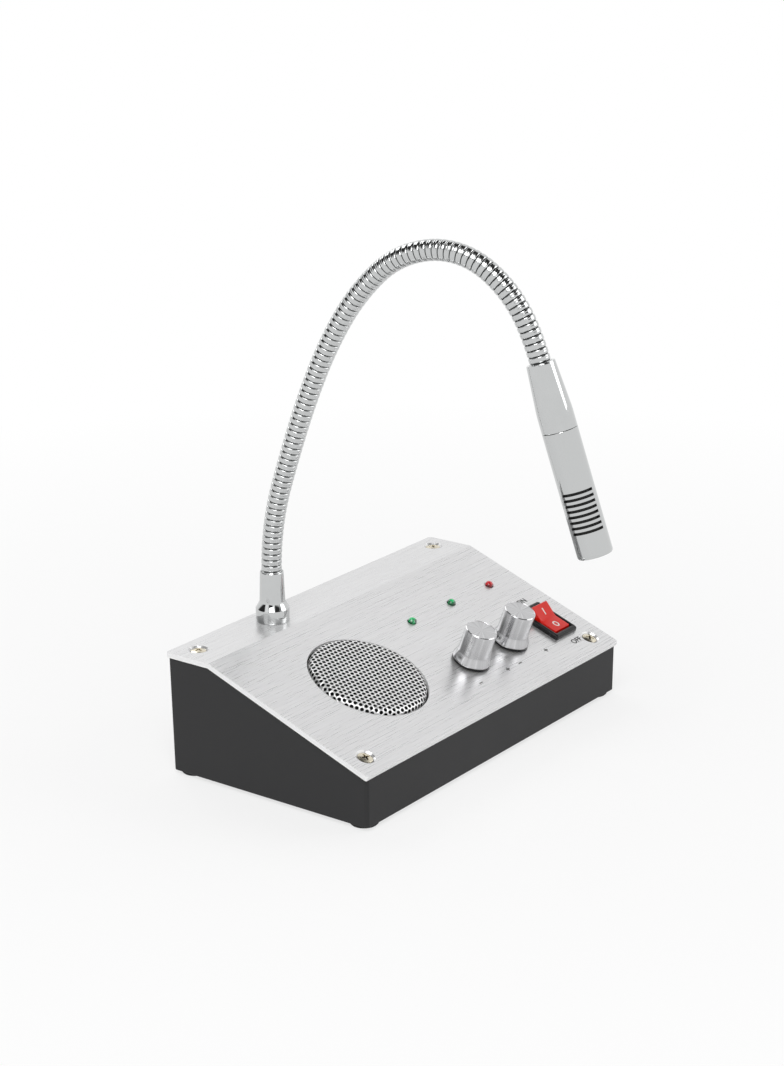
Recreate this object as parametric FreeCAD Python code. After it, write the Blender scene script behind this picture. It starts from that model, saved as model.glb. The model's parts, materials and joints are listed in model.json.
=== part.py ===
import FreeCAD, Part
import math
import os

# Teller window intercom: a wedge-shaped desk housing under a bent metal panel, with a loudspeaker,
# two volume knobs, three indicator lamps, a rocker switch and a microphone on a gooseneck.
# Millimetres. Origin: centre of the housing's flat underside. +X to the clerk's right,
# +Y away from the clerk, +Z up.

# Top panel: one bent sheet, sloping up from the front to a flat strip along the rear.
panel_width = 170.0
panel_depth = 95.0
panel_sheet = 2.0
panel_corner = 1.5
rear_height = 48.0
front_height = 21.0
rear_strip = 21.0

# Housing: an open tub, a little narrower at the bottom so that it leaves its mould.
housing_inset = 0.5
housing_draft = 0.5
housing_corner = 1.0
housing_wall = 2.5
housing_floor = 2.5
rib_height = 5.0
rib_thickness = 1.5
rib_reach = 30.0

# Panel screws: countersunk, into a post in each corner of the housing.
screw_side_inset = 9.3
screw_edge_inset = 8.3
screw_head_diameter = 6.0
screw_head_crown = 0.5
screw_crown_diameter = 3.4
screw_shank_diameter = 3.5
screw_length = 12.0
screw_seat_gap = 0.05
countersink_diameter = 7.8
screw_pilot_gap = 0.1
screw_sides = 16
post_diameter = 7.0
post_sides = 12

# Rubber feet, stuck on the underside.
foot_inset = 7.0
foot_diameter = 10.0
foot_height = 1.5
foot_edge = 1.0
foot_sides = 16

# Loudspeaker and its perforated grille, centred in a round opening of the slope, a set distance from
# the first column of controls.
grille_column_gap = 47.3
grille_up_slope = 40.2
grille_opening = 48.4
grille_gap = 0.3
grille_sheet = 0.8
grille_rise = 1.5
grille_flank = 2.5
grille_flange = 2.5
grille_hole = 2.8
grille_pitch = 4.2
grille_margin = 1.0
grille_sides = 40
speaker_flange_width = 4.0
speaker_flange_sheet = 1.0
speaker_wall = 0.8
speaker_depth = 9.2
speaker_back_diameter = 27.0
speaker_window_width = 9.0
speaker_window_height = 4.0
speaker_fit = 0.3
speaker_sides = 24
cone_sheet = 0.6
cone_rim = 2.0
cone_depth = 5.0
dust_cap_diameter = 15.0
dust_cap_rise = 2.0
magnet_diameter = 28.0
magnet_height = 5.0
yoke_diameter = 25.0
yoke_height = 1.5

# Controls stand in three columns, one volume knob or switch below one lamp, the switch by the side.
switch_side_inset = 18.0
controls_pitch = 27.0
controls_up_slope = 24.9
lamps_up_slope = 55.2

# Volume controls.
pot_diameter = 16.0
pot_height = 7.0
pot_bush_diameter = 7.0
pot_bush_rise = 4.0
pot_hole_gap = 0.1
pot_shaft_diameter = 6.0
pot_shaft_gap = 0.05
pot_shaft_flat = 1.5
pot_shaft_depth = 3.0
pot_shaft_top = 12.3
pot_shaft_end_gap = 0.3
pot_lug_width = 1.5
pot_lug_pitch = 5.0
pot_sides = 24
washer_diameter = 11.0
washer_sheet = 0.5
nut_across_flats = 10.0
nut_height = 2.0
thread_gap = 0.03
knob_top_diameter = 12.9
knob_skirt_diameter = 15.6
knob_top = 15.2
knob_base_gap = 0.7
knob_rim_height = 2.2
knob_skirt_height = 4.3
knob_edge = 0.35
knob_nut_gap = 0.3
knob_bush_gap = 0.3
knob_shaft_fit = 0.02
knob_sides = 36

# Rocker switch.
bezel_width = 15.0
bezel_length = 21.0
bezel_height = 2.0
bezel_edge = 0.7
switch_body_width = 13.0
switch_body_length = 19.0
switch_body_depth = 12.0
switch_body_gap = 0.15
switch_pocket_width = 11.0
switch_pocket_length = 16.6
switch_pocket_depth = 5.2
rocker_side_gap = 0.3
rocker_half_length = 6.9
rocker_end_height = 3.9
rocker_valley_height = 2.1
rocker_tail_angle = 20.0
rocker_pivot_height = 0.2
rocker_tilt_angle = 15.0
rocker_pin_diameter = 2.0
rocker_pin_reach = 1.0
rocker_pin_gap = 0.05
terminal_width = 4.8
terminal_sheet = 0.8
terminal_length = 7.5
terminal_pitch = 7.0

# Indicator lamps.
lamp_diameter = 3.2
lamp_hole = 3.9
lamp_proud = 1.7
lamp_crown = 0.8
lamp_flange_diameter = 4.6
lamp_flange_height = 0.8
lamp_seat_gap = 0.05
lamp_lead = 0.5
lamp_lead_pitch = 2.5
lamp_sides = 12

# Control board, under the potentiometers and parallel to the slope; its underside carries the rest.
board_sheet = 1.6
board_left_margin = 11.0
board_right_margin = 5.0
board_notch_gap = 4.0
board_front = 14.0
board_rear = 62.0
chip_width = 20.0
chip_thickness = 4.0
chip_height = 9.0
chip_switch_gap = 13.0
chip_up_slope = 52.0
capacitor_diameter = 8.0
capacitor_height = 11.0
capacitor_column_gap = 3.0
capacitor_pitch = 12.0
capacitor_up_slope = 54.0
capacitor_sides = 12
connector_width = 9.0
connector_depth = 5.5
connector_height = 6.0
connector_column_gap = 4.0
connector_pitch = 13.0
connector_up_slope = 40.0

# Sockets in the rear wall.
power_socket_side_inset = 25.0
socket_pitch = 22.0
socket_z = 20.0
socket_flange_height = 1.2
power_socket_flange = 11.0
power_socket_barrel = 8.0
power_socket_bore = 5.6
power_socket_pin = 2.1
power_socket_pin_setback = 1.5
audio_socket_flange = 8.5
audio_socket_barrel = 6.0
audio_socket_bore = 3.6
socket_reach = 12.0
socket_bore_depth = 10.0
socket_hole_gap = 0.1
socket_nut_gap = 0.05
power_nut_across_flats = 11.0
audio_nut_across_flats = 8.0
socket_nut_height = 2.0
socket_sides = 24
socket_pin_sides = 12

# Gooseneck foot: a turned ferrule with a threaded stud, clamped through the rear strip behind the grille.
neck_grille_offset = 0.4
neck_setback = 10.4
neck_heading_angle = 10.0
ferrule_base_diameter = 13.2
ferrule_base_height = 5.4
ferrule_shoulder_diameter = 10.0
ferrule_shoulder_height = 9.3
ferrule_top_diameter = 9.2
ferrule_height = 20.0
ferrule_edge = 0.4
ferrule_socket_depth = 12.0
stud_diameter = 7.8
stud_hole_gap = 0.1
neck_washer_diameter = 14.0
neck_washer_sheet = 1.0
neck_nut_across_flats = 12.0
neck_nut_height = 3.5
stud_end = 0.5
ferrule_sides = 32
thread_sides = 16

# Gooseneck hose: rigid links along a chain of tangent arcs, each with the bend it is left in.
hose_diameter = 8.0
hose_bore = 4.4
hose_socket_gap = 0.05
hose_joint_gap = 0.3
hose_link = 24.0
hose_lead = 12.5
hose_tail = 14.7
hose_lead_angle = 6.0
hose_link_angles = [11.0, 2.0, 4.0, 8.0, 15.0, 35.0, 44.0, 29.0]
hose_tail_angle = 8.0
hose_knee_angle = 12.0
hose_sides = 16

# Microphone: a turned neck screwed to a slotted barrel that holds the capsule in a rubber ring.
mic_diameter = 13.3
mic_rim_diameter = 10.7
mic_taper = 18.5
mic_neck_length = 25.1
mic_barrel_length = 47.6
mic_socket_depth = 8.0
mic_sides = 32
mic_wall = 1.0
mic_end_wall = 1.5
mic_edge = 0.8
mic_spigot_length = 4.0
mic_fit = 0.05
mic_slot_count = 8
mic_slot_width = 1.0
mic_slot_pitch = 2.08
mic_slot_start = 47.5
mic_slot_depth = 3.0
mic_slot_angle = -113.0
capsule_diameter = 9.7
capsule_height = 6.5
capsule_holder_height = 9.0
capsule_setback = 25.0
capsule_sides = 24

slope_run = panel_depth - rear_strip
slope_rise = rear_height - front_height
slope_angle = math.degrees(math.atan2(slope_rise, slope_run))
front_y = -panel_depth / 2
rear_y = panel_depth / 2
bend_y = rear_y - rear_strip
switch_x = panel_width / 2 - switch_side_inset
knob_columns = [switch_x - 2 * controls_pitch, switch_x - controls_pitch]
grille_x = knob_columns[0] - grille_column_gap
neck_x = grille_x + neck_grille_offset
neck_y = rear_y - neck_setback
power_socket_x = panel_width / 2 - power_socket_side_inset
audio_socket_x = power_socket_x - socket_pitch
board_top = -panel_sheet - pot_height


def save(shape, name):
    """Writes one sub-part as its own STEP file."""
    shape.exportStep("parts/" + name + ".step")


def placed(shape, point, turn):
    """A copy of a shape, turned and then moved to a point."""
    copy = shape.copy()
    copy.Placement = FreeCAD.Placement(point, turn).multiply(copy.Placement)
    return copy


def on_slope(shape, x, up_slope):
    """Moves a shape from its own frame (X across, Y up the slope, Z outwards, 0 at the panel's face)."""
    tilt = FreeCAD.Rotation(FreeCAD.Vector(1, 0, 0), slope_angle)
    foot = FreeCAD.Vector(x, front_y, front_height)
    foot = foot + tilt.multVec(FreeCAD.Vector(0, up_slope, 0))
    return placed(shape, foot, tilt)


def moved(shape, x, y, z):
    """A copy of a shape, moved without turning."""
    copy = shape.copy()
    copy.translate(FreeCAD.Vector(x, y, z))
    return copy


def group(shapes):
    """Separate solids kept together in one node."""
    return Part.Compound(shapes)


def around(radius, height, sides):
    """The corners of a level ring about Z, or the one point of a ring of no radius."""
    turns = [2 * math.pi * i / sides for i in range(sides if radius > 0 else 1)]
    return [FreeCAD.Vector(radius * math.cos(turn), radius * math.sin(turn), height) for turn in turns]


def ring_body(rings):
    """A solid whose skin runs from ring to ring of corners and from the last ring back to the first."""
    faces = []
    for near, far in zip(rings, rings[1:] + rings[:1]):
        count = max(len(near), len(far))
        for i in range(count if len(near) + len(far) > 2 else 0):
            corners = [near[i % len(near)], near[(i + 1) % len(near)],
                       far[(i + 1) % len(far)], far[i % len(far)]]
            kept = [corner for j, corner in enumerate(corners) if corner not in corners[:j]]
            faces.append(Part.Face(Part.makePolygon(kept + kept[:1])))
    solid = Part.makeSolid(Part.makeShell(faces)).removeSplitter()
    if solid.Volume < 0:
        solid.reverse()
    return solid


def faceted(profile, sides):
    """A turned solid drawn with flat sides, for long tapers and for what is small, repeated or hidden."""
    return ring_body([around(radius, height, sides) for radius, height in profile])


def rod(diameter, bottom, top):
    """A round bar along Z."""
    return Part.makeCylinder(diameter / 2, top - bottom, FreeCAD.Vector(0, 0, bottom))


def flat_sided_rod(diameter, bottom, top, sides):
    """A bar along Z whose corners lie on the diameter."""
    radius = diameter / 2
    return faceted([(0, bottom), (radius, bottom), (radius, top), (0, top)], sides)


def flat_sided_hole(diameter, bottom, top, sides):
    """A cutter along Z whose flats lie on the diameter, so that a bar of that size goes through."""
    return flat_sided_rod(diameter / math.cos(math.pi / sides), bottom, top, sides)


def block(width, depth, bottom, top):
    """A box centred on the Z axis."""
    corner = FreeCAD.Vector(-width / 2, -depth / 2, bottom)
    return Part.makeBox(width, depth, top - bottom, corner)


def hexagon(across_flats, bottom, top):
    """A hexagonal bar along Z."""
    radius = across_flats / 2 / math.cos(math.radians(30))
    corners = [FreeCAD.Vector(radius * math.cos(math.radians(60 * i)),
                              radius * math.sin(math.radians(60 * i)), bottom) for i in range(6)]
    face = Part.Face(Part.makePolygon(corners + corners[:1]))
    return face.extrude(FreeCAD.Vector(0, 0, top - bottom))


def chamfered_block(width, depth, bottom, top, edge):
    """A box whose upper rim is drawn in by a chamfer."""
    full = block(width, depth, bottom, top)
    rim = [item for item in full.Edges if abs(item.BoundBox.ZMin - top) < edge / 100]
    return full.makeChamfer(edge, rim)


def rounded_wire(width, depth, radius):
    """A rectangle with rounded corners, level at zero."""
    points = []
    for corner in range(4):
        side_x = 1 if corner in (0, 3) else -1
        side_y = 1 if corner in (0, 1) else -1
        centre = FreeCAD.Vector(side_x * (width / 2 - radius), side_y * (depth / 2 - radius), 0)
        for part in range(3):
            turn = math.radians(90 * corner + 45 * part)
            points.append(centre + FreeCAD.Vector(radius * math.cos(turn), radius * math.sin(turn), 0))
    edges = []
    for corner in range(4):
        start, middle, end = points[3 * corner:3 * corner + 3]
        edges.append(Part.Arc(start, middle, end).toShape())
        edges.append(Part.makeLine(end, points[(3 * corner + 3) % len(points)]))
    return Part.Wire(edges)


def clipped_wire(width, depth, clip, z):
    """A rectangle with its corners cut off, level at z."""
    x = width / 2
    y = depth / 2
    corners = [(x, y - clip), (x - clip, y), (clip - x, y), (-x, y - clip),
               (-x, clip - y), (clip - x, -y), (x - clip, -y), (x, clip - y)]
    points = [FreeCAD.Vector(across, along, z) for across, along in corners]
    return Part.makePolygon(points + points[:1])


def side_prism(outline, width):
    """An outline of (y, z) points, drawn across the whole width."""
    points = [FreeCAD.Vector(-width / 2, y, z) for y, z in outline]
    face = Part.Face(Part.makePolygon(points + points[:1]))
    return face.extrude(FreeCAD.Vector(width, 0, 0))


def panel_underside():
    """The lower line of the bent sheet: front edge, bend and rear edge, as (y, z)."""
    tilt = math.radians(slope_angle)
    front = (front_y + panel_sheet * math.sin(tilt), front_height - panel_sheet * math.cos(tilt))
    bend = (bend_y + panel_sheet * math.tan(tilt / 2), rear_height - panel_sheet)
    return [front, bend, (rear_y, rear_height - panel_sheet)]


def screw_places():
    """Where the four panel screws stand: (x, up the slope) in front, (x, y) on the rear strip."""
    x = panel_width / 2 - screw_side_inset
    front = [(side * x, screw_edge_inset) for side in (-1, 1)]
    rear = [(side * x, rear_y - screw_edge_inset) for side in (-1, 1)]
    return front, rear


def at_screws(shape):
    """The same shape at all four screws, its own zero at the panel's face."""
    front, rear = screw_places()
    copies = [on_slope(shape, x, up_slope) for x, up_slope in front]
    return copies + [moved(shape, x, y, rear_height) for x, y in rear]


def top_panel():
    """Bent sheet with every opening that is punched in it."""
    outer = [(front_y, front_height), (bend_y, rear_height), (rear_y, rear_height)]
    sheet = side_prism(outer + panel_underside()[::-1], panel_width)
    plan = Part.Face(rounded_wire(panel_width, panel_depth, panel_corner))
    sheet = sheet.common(plan.extrude(FreeCAD.Vector(0, 0, rear_height)))
    half = countersink_diameter / 2
    sink = faceted([(0, 0), (half, 0), (half - panel_sheet, -panel_sheet), (0, -panel_sheet)], screw_sides)
    through = [-2 * panel_sheet, panel_sheet]
    cuts = at_screws(sink)
    opening = flat_sided_rod(grille_opening, *through, grille_sides)
    cuts.append(on_slope(opening, grille_x, grille_up_slope))
    for x in knob_columns:
        bush_hole = flat_sided_hole(pot_bush_diameter + 2 * pot_hole_gap, *through, pot_sides)
        cuts.append(on_slope(bush_hole, x, controls_up_slope))
    for x in knob_columns + [switch_x]:
        cuts.append(on_slope(flat_sided_hole(lamp_hole, *through, lamp_sides), x, lamps_up_slope))
    around_case = 2 * switch_body_gap
    slot = block(switch_body_width + around_case, switch_body_length + around_case, *through)
    cuts.append(on_slope(slot, switch_x, controls_up_slope))
    stud_hole = flat_sided_hole(stud_diameter + 2 * stud_hole_gap, *through, thread_sides)
    cuts.append(moved(stud_hole, neck_x, neck_y, rear_height))
    return sheet.cut(cuts)


def foot_places():
    """Centres of the four feet on the underside."""
    x = panel_width / 2 - housing_inset - housing_draft - foot_inset
    y = panel_depth / 2 - housing_inset - housing_draft - foot_inset
    return [(side_x * x, side_y * y) for side_x in (-1, 1) for side_y in (-1, 1)]


def housing_outer():
    """Outside of the tub up to the panel, before it is hollowed."""
    top_inset = 2 * housing_inset
    bottom_inset = 2 * (housing_inset + housing_draft)
    bottom = clipped_wire(panel_width - bottom_inset, panel_depth - bottom_inset, housing_corner, 0)
    top = clipped_wire(panel_width - top_inset, panel_depth - top_inset, housing_corner, rear_height)
    body = Part.makeLoft([bottom, top], True, True)
    front, bend, rear = panel_underside()
    fall = (bend[1] - front[1]) / (bend[0] - front[0])
    lead_in = (front[0] - panel_sheet, front[1] - panel_sheet * fall)
    run_out = (rear[0] + panel_sheet, rear[1])
    lid = [lead_in, bend, run_out, (run_out[0], 2 * rear_height), (lead_in[0], 2 * rear_height)]
    return body.cut(side_prism(lid, 2 * panel_width))


def housing():
    """Moulded tub with screw posts, floor ribs and the two socket holes."""
    outer = housing_outer()
    inset = 2 * (housing_inset + housing_draft + housing_wall)
    floor_wire = clipped_wire(panel_width - inset, panel_depth - inset, housing_corner, housing_floor)
    mouth = inset - 2 * housing_draft
    mouth_wire = clipped_wire(panel_width - mouth, panel_depth - mouth, housing_corner, rear_height)
    cavity = Part.makeLoft([floor_wire, mouth_wire], True, True)
    shell = outer.cut(cavity)
    posts = at_screws(flat_sided_rod(post_diameter, -rear_height, 0, post_sides))
    for side in (-1, 1):
        rib = block(rib_thickness, panel_depth, 0, housing_floor + rib_height)
        posts.append(moved(rib, side * rib_reach, 0, 0))
    body = shell.fuse([post.common(outer) for post in posts]).removeSplitter()
    pilot_diameter = screw_shank_diameter + 2 * screw_pilot_gap
    pilot = flat_sided_hole(pilot_diameter, -screw_length - panel_sheet, panel_sheet, post_sides)
    cuts = at_screws(pilot)
    for x, barrel in ((power_socket_x, power_socket_barrel), (audio_socket_x, audio_socket_barrel)):
        diameter = barrel + 2 * socket_hole_gap
        hole = flat_sided_hole(diameter, -2 * socket_reach, 2 * socket_reach, socket_sides)
        cuts.append(in_rear_wall(hole, x))
    return body.cut(cuts)


def rubber_feet():
    """Domed rubber feet; each is a button with a rounded lower edge."""
    radius = foot_diameter / 2
    foot = faceted([(0, 0), (radius, 0), (radius, foot_edge - foot_height),
                    (radius - foot_edge, -foot_height), (0, -foot_height)], foot_sides)
    return group([moved(foot, x, y, 0) for x, y in foot_places()])


def panel_screws():
    """Countersunk screws with a crowned head, seated in the panel's countersinks."""
    head = screw_head_diameter / 2
    shank = screw_shank_diameter / 2
    sunk = countersink_diameter / 2 - head - screw_seat_gap * math.sqrt(2)
    crown = screw_head_crown - sunk
    screw = faceted([(0, crown), (screw_crown_diameter / 2, crown), (head, -sunk),
                     (shank, shank - head - sunk), (shank, -screw_length), (0, -screw_length)], screw_sides)
    return group(at_screws(screw))


def grille_inner_radius():
    """Radius where the grille's flat face meets its sloping flank."""
    return grille_opening / 2 - grille_gap - grille_flank


def speaker_grille():
    """Pressed dish with a staggered field of holes; its flange lies under the panel."""
    outer = grille_opening / 2 - grille_gap
    inner = grille_inner_radius()
    under = -panel_sheet
    skin = grille_sheet
    dish = faceted([(0, grille_rise), (inner, grille_rise), (outer, grille_rise - grille_flank),
                    (outer, under), (outer + grille_flange, under), (outer + grille_flange, under - skin),
                    (outer - skin, under - skin), (outer - skin, grille_rise - grille_flank - skin / 2),
                    (inner - skin / 2, grille_rise - skin), (0, grille_rise - skin)], grille_sides)
    reach = inner - grille_margin - grille_hole / 2
    row_pitch = grille_pitch * math.sin(math.radians(60))
    rows = int(reach / row_pitch)
    holes = []
    for row in range(-rows, rows + 1):
        shift = grille_pitch / 2 if row % 2 else 0
        for column in range(-rows - 2, rows + 3):
            x = column * grille_pitch + shift
            y = row * row_pitch
            if math.hypot(x, y) <= reach:
                holes.append(moved(hexagon(grille_hole, 0, 2 * grille_rise), x, y, 0))
    return on_slope(dish.cut(holes), grille_x, grille_up_slope)


def speaker_face():
    """Level of the loudspeaker's flange face, under the grille's flange."""
    return -panel_sheet - grille_sheet


def speaker_radius():
    """Outer radius of the loudspeaker's flange."""
    return grille_opening / 2 - grille_gap + grille_flange / 2


def speaker_basket():
    """Pressed pan with windows in its conical wall."""
    face = speaker_face()
    rim = speaker_radius()
    mouth = rim - speaker_flange_width
    back = speaker_back_diameter / 2
    bottom = face - speaker_depth
    pan = faceted([(mouth, face), (rim, face), (rim, face - speaker_flange_sheet),
                   (mouth + speaker_wall, face - speaker_flange_sheet), (back, bottom), (0, bottom),
                   (0, bottom + speaker_wall), (back - speaker_wall, bottom + speaker_wall),
                   (mouth, face - speaker_flange_sheet)], speaker_sides)
    middle = face - speaker_depth / 2
    low = middle - speaker_window_height / 2
    high = middle + speaker_window_height / 2
    windows = [block(speaker_window_width, 2 * rim, low, high),
               block(2 * rim, speaker_window_width, low, high)]
    return on_slope(pan.cut(windows), grille_x, grille_up_slope)


def speaker_cone():
    """Paper cone with its rim and dust cap in one piece."""
    face = speaker_face() - speaker_flange_sheet / 2
    rim = speaker_radius() - speaker_flange_width - speaker_fit
    cap = dust_cap_diameter / 2
    low = face - cone_depth
    cone = faceted([(rim, face), (rim - cone_rim, face), (cap, low), (0, low + dust_cap_rise),
                    (0, low + dust_cap_rise - cone_sheet), (cap, low - cone_sheet),
                    (rim - cone_rim, face - cone_sheet), (rim, face - cone_sheet)], speaker_sides)
    return on_slope(cone, grille_x, grille_up_slope)


def speaker_magnet():
    """Ferrite ring and yoke plate, seated on the basket's back."""
    top = speaker_face() - speaker_depth
    step = top - magnet_height
    magnet = faceted([(0, top), (magnet_diameter / 2, top), (magnet_diameter / 2, step),
                      (yoke_diameter / 2, step), (yoke_diameter / 2, step - yoke_height),
                      (0, step - yoke_height)], speaker_sides)
    return on_slope(magnet, grille_x, grille_up_slope)


def volume_pot(x):
    """Potentiometer: round case against the panel, threaded bush through it, three lugs to the board."""
    radius = pot_diameter / 2
    case = flat_sided_rod(pot_diameter, board_top, -panel_sheet, pot_sides)
    bush = flat_sided_rod(pot_bush_diameter, -panel_sheet, pot_bush_rise, pot_sides)
    shaft_seat = -panel_sheet - pot_shaft_depth - pot_shaft_end_gap
    bore = rod(pot_shaft_diameter + 2 * pot_shaft_gap, shaft_seat, 2 * pot_bush_rise)
    lugs = []
    for side in (-1, 0, 1):
        lug = block(pot_lug_width, pot_lug_width, board_top - board_sheet - pot_lug_width, board_top)
        lugs.append(moved(lug, side * pot_lug_pitch, radius - pot_lug_width * 2, 0))
    return on_slope(case.fuse([bush] + lugs).cut(bore), x, controls_up_slope)


def pot_shaft(x):
    """Turning shaft with a flat for the knob."""
    shaft = rod(pot_shaft_diameter, -panel_sheet - pot_shaft_depth, pot_shaft_top)
    return on_slope(shaft.cut(shaft_flat(0)), x, controls_up_slope)


def shaft_flat(fit):
    """The block cut from the side of the shaft to leave its flat."""
    low = knob_flat_start()
    cutter = block(2 * pot_shaft_diameter, pot_shaft_diameter, low, 2 * pot_shaft_top)
    return moved(cutter, 0, pot_shaft_diameter - pot_shaft_flat + fit, 0)


def knob_flat_start():
    """Level where the knob's bore closes round the shaft, just above the bush."""
    return pot_bush_rise + knob_bush_gap


def plain_ring(outer_diameter, inner_diameter, bottom, top, sides):
    """A flat ring, drawn with flat sides."""
    outer = outer_diameter / 2
    inner = inner_diameter / 2
    return faceted([(inner, bottom), (outer, bottom), (outer, top), (inner, top)], sides)


def plain_nut(across_flats, thread_diameter, bottom, top):
    """A hexagonal nut with a plain hole round a thread."""
    bore = flat_sided_hole(thread_diameter + 2 * thread_gap, bottom, top, thread_sides)
    return hexagon(across_flats, bottom, top).cut(bore)


def pot_washers():
    """Flat washers under the potentiometers' nuts."""
    hole = (pot_bush_diameter + 2 * thread_gap) / math.cos(math.pi / thread_sides)
    washer = plain_ring(washer_diameter, hole, 0, washer_sheet, thread_sides)
    return group([on_slope(washer, x, controls_up_slope) for x in knob_columns])


def pot_nuts():
    """Hexagonal nuts that clamp the potentiometers, hidden inside the knobs."""
    nut = plain_nut(nut_across_flats, pot_bush_diameter, washer_sheet, washer_sheet + nut_height)
    return group([on_slope(nut, x, controls_up_slope) for x in knob_columns])


def volume_knob(x):
    """Turned knob: straight body, flared skirt with a plain rim, hollow underneath for the nut."""
    base = knob_base_gap
    skirt = knob_skirt_diameter / 2
    body = knob_top_diameter / 2
    knob = faceted([(0, base), (skirt, base), (skirt, base + knob_rim_height),
                    (body, base + knob_skirt_height), (body, knob_top - knob_edge),
                    (body - knob_edge, knob_top), (0, knob_top)], knob_sides)
    nut_corner = nut_across_flats / 2 / math.cos(math.radians(30))
    nut_room = flat_sided_hole(2 * (nut_corner + knob_nut_gap), 0, knob_flat_start(), pot_sides)
    bore_top = pot_shaft_top + pot_shaft_end_gap
    bore = flat_sided_hole(pot_shaft_diameter + 2 * knob_shaft_fit, 0, bore_top, pot_sides)
    bore = bore.cut(shaft_flat(knob_shaft_fit))
    return on_slope(knob.cut([nut_room, bore]), x, controls_up_slope)


def switch_body():
    """Switch case: a chamfered bezel on the panel and a box below it, with a pocket for the rocker."""
    bezel = chamfered_block(bezel_width, bezel_length, 0, bezel_height, bezel_edge)
    case = block(switch_body_width, switch_body_length, -panel_sheet - switch_body_depth, 0)
    pocket = block(switch_pocket_width, switch_pocket_length, -switch_pocket_depth, 2 * bezel_height)
    seat = rocker_pins(rocker_pin_diameter + 2 * rocker_pin_gap, rocker_pin_reach + 2 * rocker_pin_gap)
    return on_slope(bezel.fuse(case).cut([pocket, seat]), switch_x, controls_up_slope)


def rocker_width():
    """Width of the rocker between the pocket's side walls."""
    return switch_pocket_width - 2 * rocker_side_gap


def rocker_pins(diameter, reach):
    """The rocker's pivot pins, as one bar across the switch."""
    half = rocker_width() / 2 + reach
    return Part.makeCylinder(diameter / 2, 2 * half, FreeCAD.Vector(-half, 0, rocker_pivot_height),
                             FreeCAD.Vector(1, 0, 0))


def switch_rocker():
    """Rocker with a shallow V across its top and ends rounded about its pivot, left in the off position."""
    radius = math.hypot(rocker_half_length, rocker_end_height)
    tail = math.radians(rocker_tail_angle)
    left = -rocker_width() / 2

    def point(y, z):
        return FreeCAD.Vector(left, y, rocker_pivot_height + z)

    front_top = point(-rocker_half_length, rocker_end_height)
    rear_top = point(rocker_half_length, rocker_end_height)
    valley = point(0, rocker_valley_height)
    rear_tail = point(radius * math.cos(tail), -radius * math.sin(tail))
    front_tail = point(-radius * math.cos(tail), -radius * math.sin(tail))
    outline = Part.Wire([Part.makeLine(front_top, valley), Part.makeLine(valley, rear_top),
                         Part.Arc(rear_top, point(radius, 0), rear_tail).toShape(),
                         Part.makeLine(rear_tail, front_tail),
                         Part.Arc(front_tail, point(-radius, 0), front_top).toShape()])
    rocker = Part.Face(outline).extrude(FreeCAD.Vector(rocker_width(), 0, 0))
    rocker = rocker.fuse(rocker_pins(rocker_pin_diameter, rocker_pin_reach))
    rocker.rotate(FreeCAD.Vector(0, 0, rocker_pivot_height), FreeCAD.Vector(1, 0, 0), rocker_tilt_angle)
    return on_slope(group([rocker]), switch_x, controls_up_slope)


def switch_terminals():
    """Two flat blade terminals under the switch case."""
    top = -panel_sheet - switch_body_depth
    blade = block(terminal_sheet, terminal_width, top - terminal_length, top)
    pair = [moved(blade, 0, side * terminal_pitch / 2, 0) for side in (-1, 1)]
    return on_slope(group(pair), switch_x, controls_up_slope)


def indicator_lamp(x):
    """Light-emitting diode: domed body through the panel, flange under it, two leads to the board."""
    radius = lamp_diameter / 2
    flange = lamp_flange_diameter / 2
    flange_top = -panel_sheet - lamp_seat_gap
    flange_bottom = flange_top - lamp_flange_height
    lamp = faceted([(0, lamp_proud), (radius * 0.6, lamp_proud - lamp_crown * 0.25),
                    (radius, lamp_proud - lamp_crown), (radius, flange_top), (flange, flange_top),
                    (flange, flange_bottom), (0, flange_bottom)], lamp_sides)
    leads = [moved(block(lamp_lead, lamp_lead, board_top, flange_bottom), side * lamp_lead_pitch / 2, 0, 0)
             for side in (-1, 1)]
    return on_slope(lamp.fuse(leads), x, lamps_up_slope)


def control_board():
    """L-shaped circuit board against the potentiometers' cases, slotted for their lugs."""
    left = knob_columns[0] - board_left_margin
    right = switch_x + board_right_margin
    notch_x = switch_x - switch_body_width / 2 - board_notch_gap
    notch_rear = controls_up_slope + switch_body_length / 2 + board_notch_gap
    corners = [(left, board_front), (notch_x, board_front), (notch_x, notch_rear),
               (right, notch_rear), (right, board_rear), (left, board_rear)]
    points = [FreeCAD.Vector(x, up_slope, board_top - board_sheet) for x, up_slope in corners]
    board = Part.Face(Part.makePolygon(points + points[:1])).extrude(FreeCAD.Vector(0, 0, board_sheet))
    slots = []
    lug_y = controls_up_slope + pot_diameter / 2 - pot_lug_width * 2
    for x in knob_columns:
        for side in (-1, 0, 1):
            slot = block(2 * pot_lug_width, 2 * pot_lug_width, 2 * board_top, 0)
            slots.append(moved(slot, x + side * pot_lug_pitch, lug_y, 0))
    return on_slope(board.cut(slots), 0, 0)


def under_board(shape, x, up_slope):
    """Hangs a shape from the board's underside; its own zero is the mounting face."""
    return on_slope(moved(shape, 0, 0, board_top - board_sheet), x, up_slope)


def amplifier_chip():
    """Power amplifier in an upright package."""
    chip = block(chip_width, chip_thickness, -chip_height, 0)
    return under_board(chip, switch_x - chip_switch_gap, chip_up_slope)


def board_capacitors():
    """Three electrolytic capacitors in a row."""
    can = flat_sided_rod(capacitor_diameter, -capacitor_height, 0, capacitor_sides)
    first = knob_columns[0] - capacitor_column_gap
    return group([under_board(can, first + i * capacitor_pitch, capacitor_up_slope) for i in range(3)])


def board_connectors():
    """Plug-in lead connectors for the loudspeaker, microphone, power and customer's unit."""
    shell = block(connector_width, connector_depth, -connector_height, 0)
    first = knob_columns[0] - connector_column_gap
    return group([under_board(shell, first + i * connector_pitch, connector_up_slope) for i in range(4)])


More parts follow.
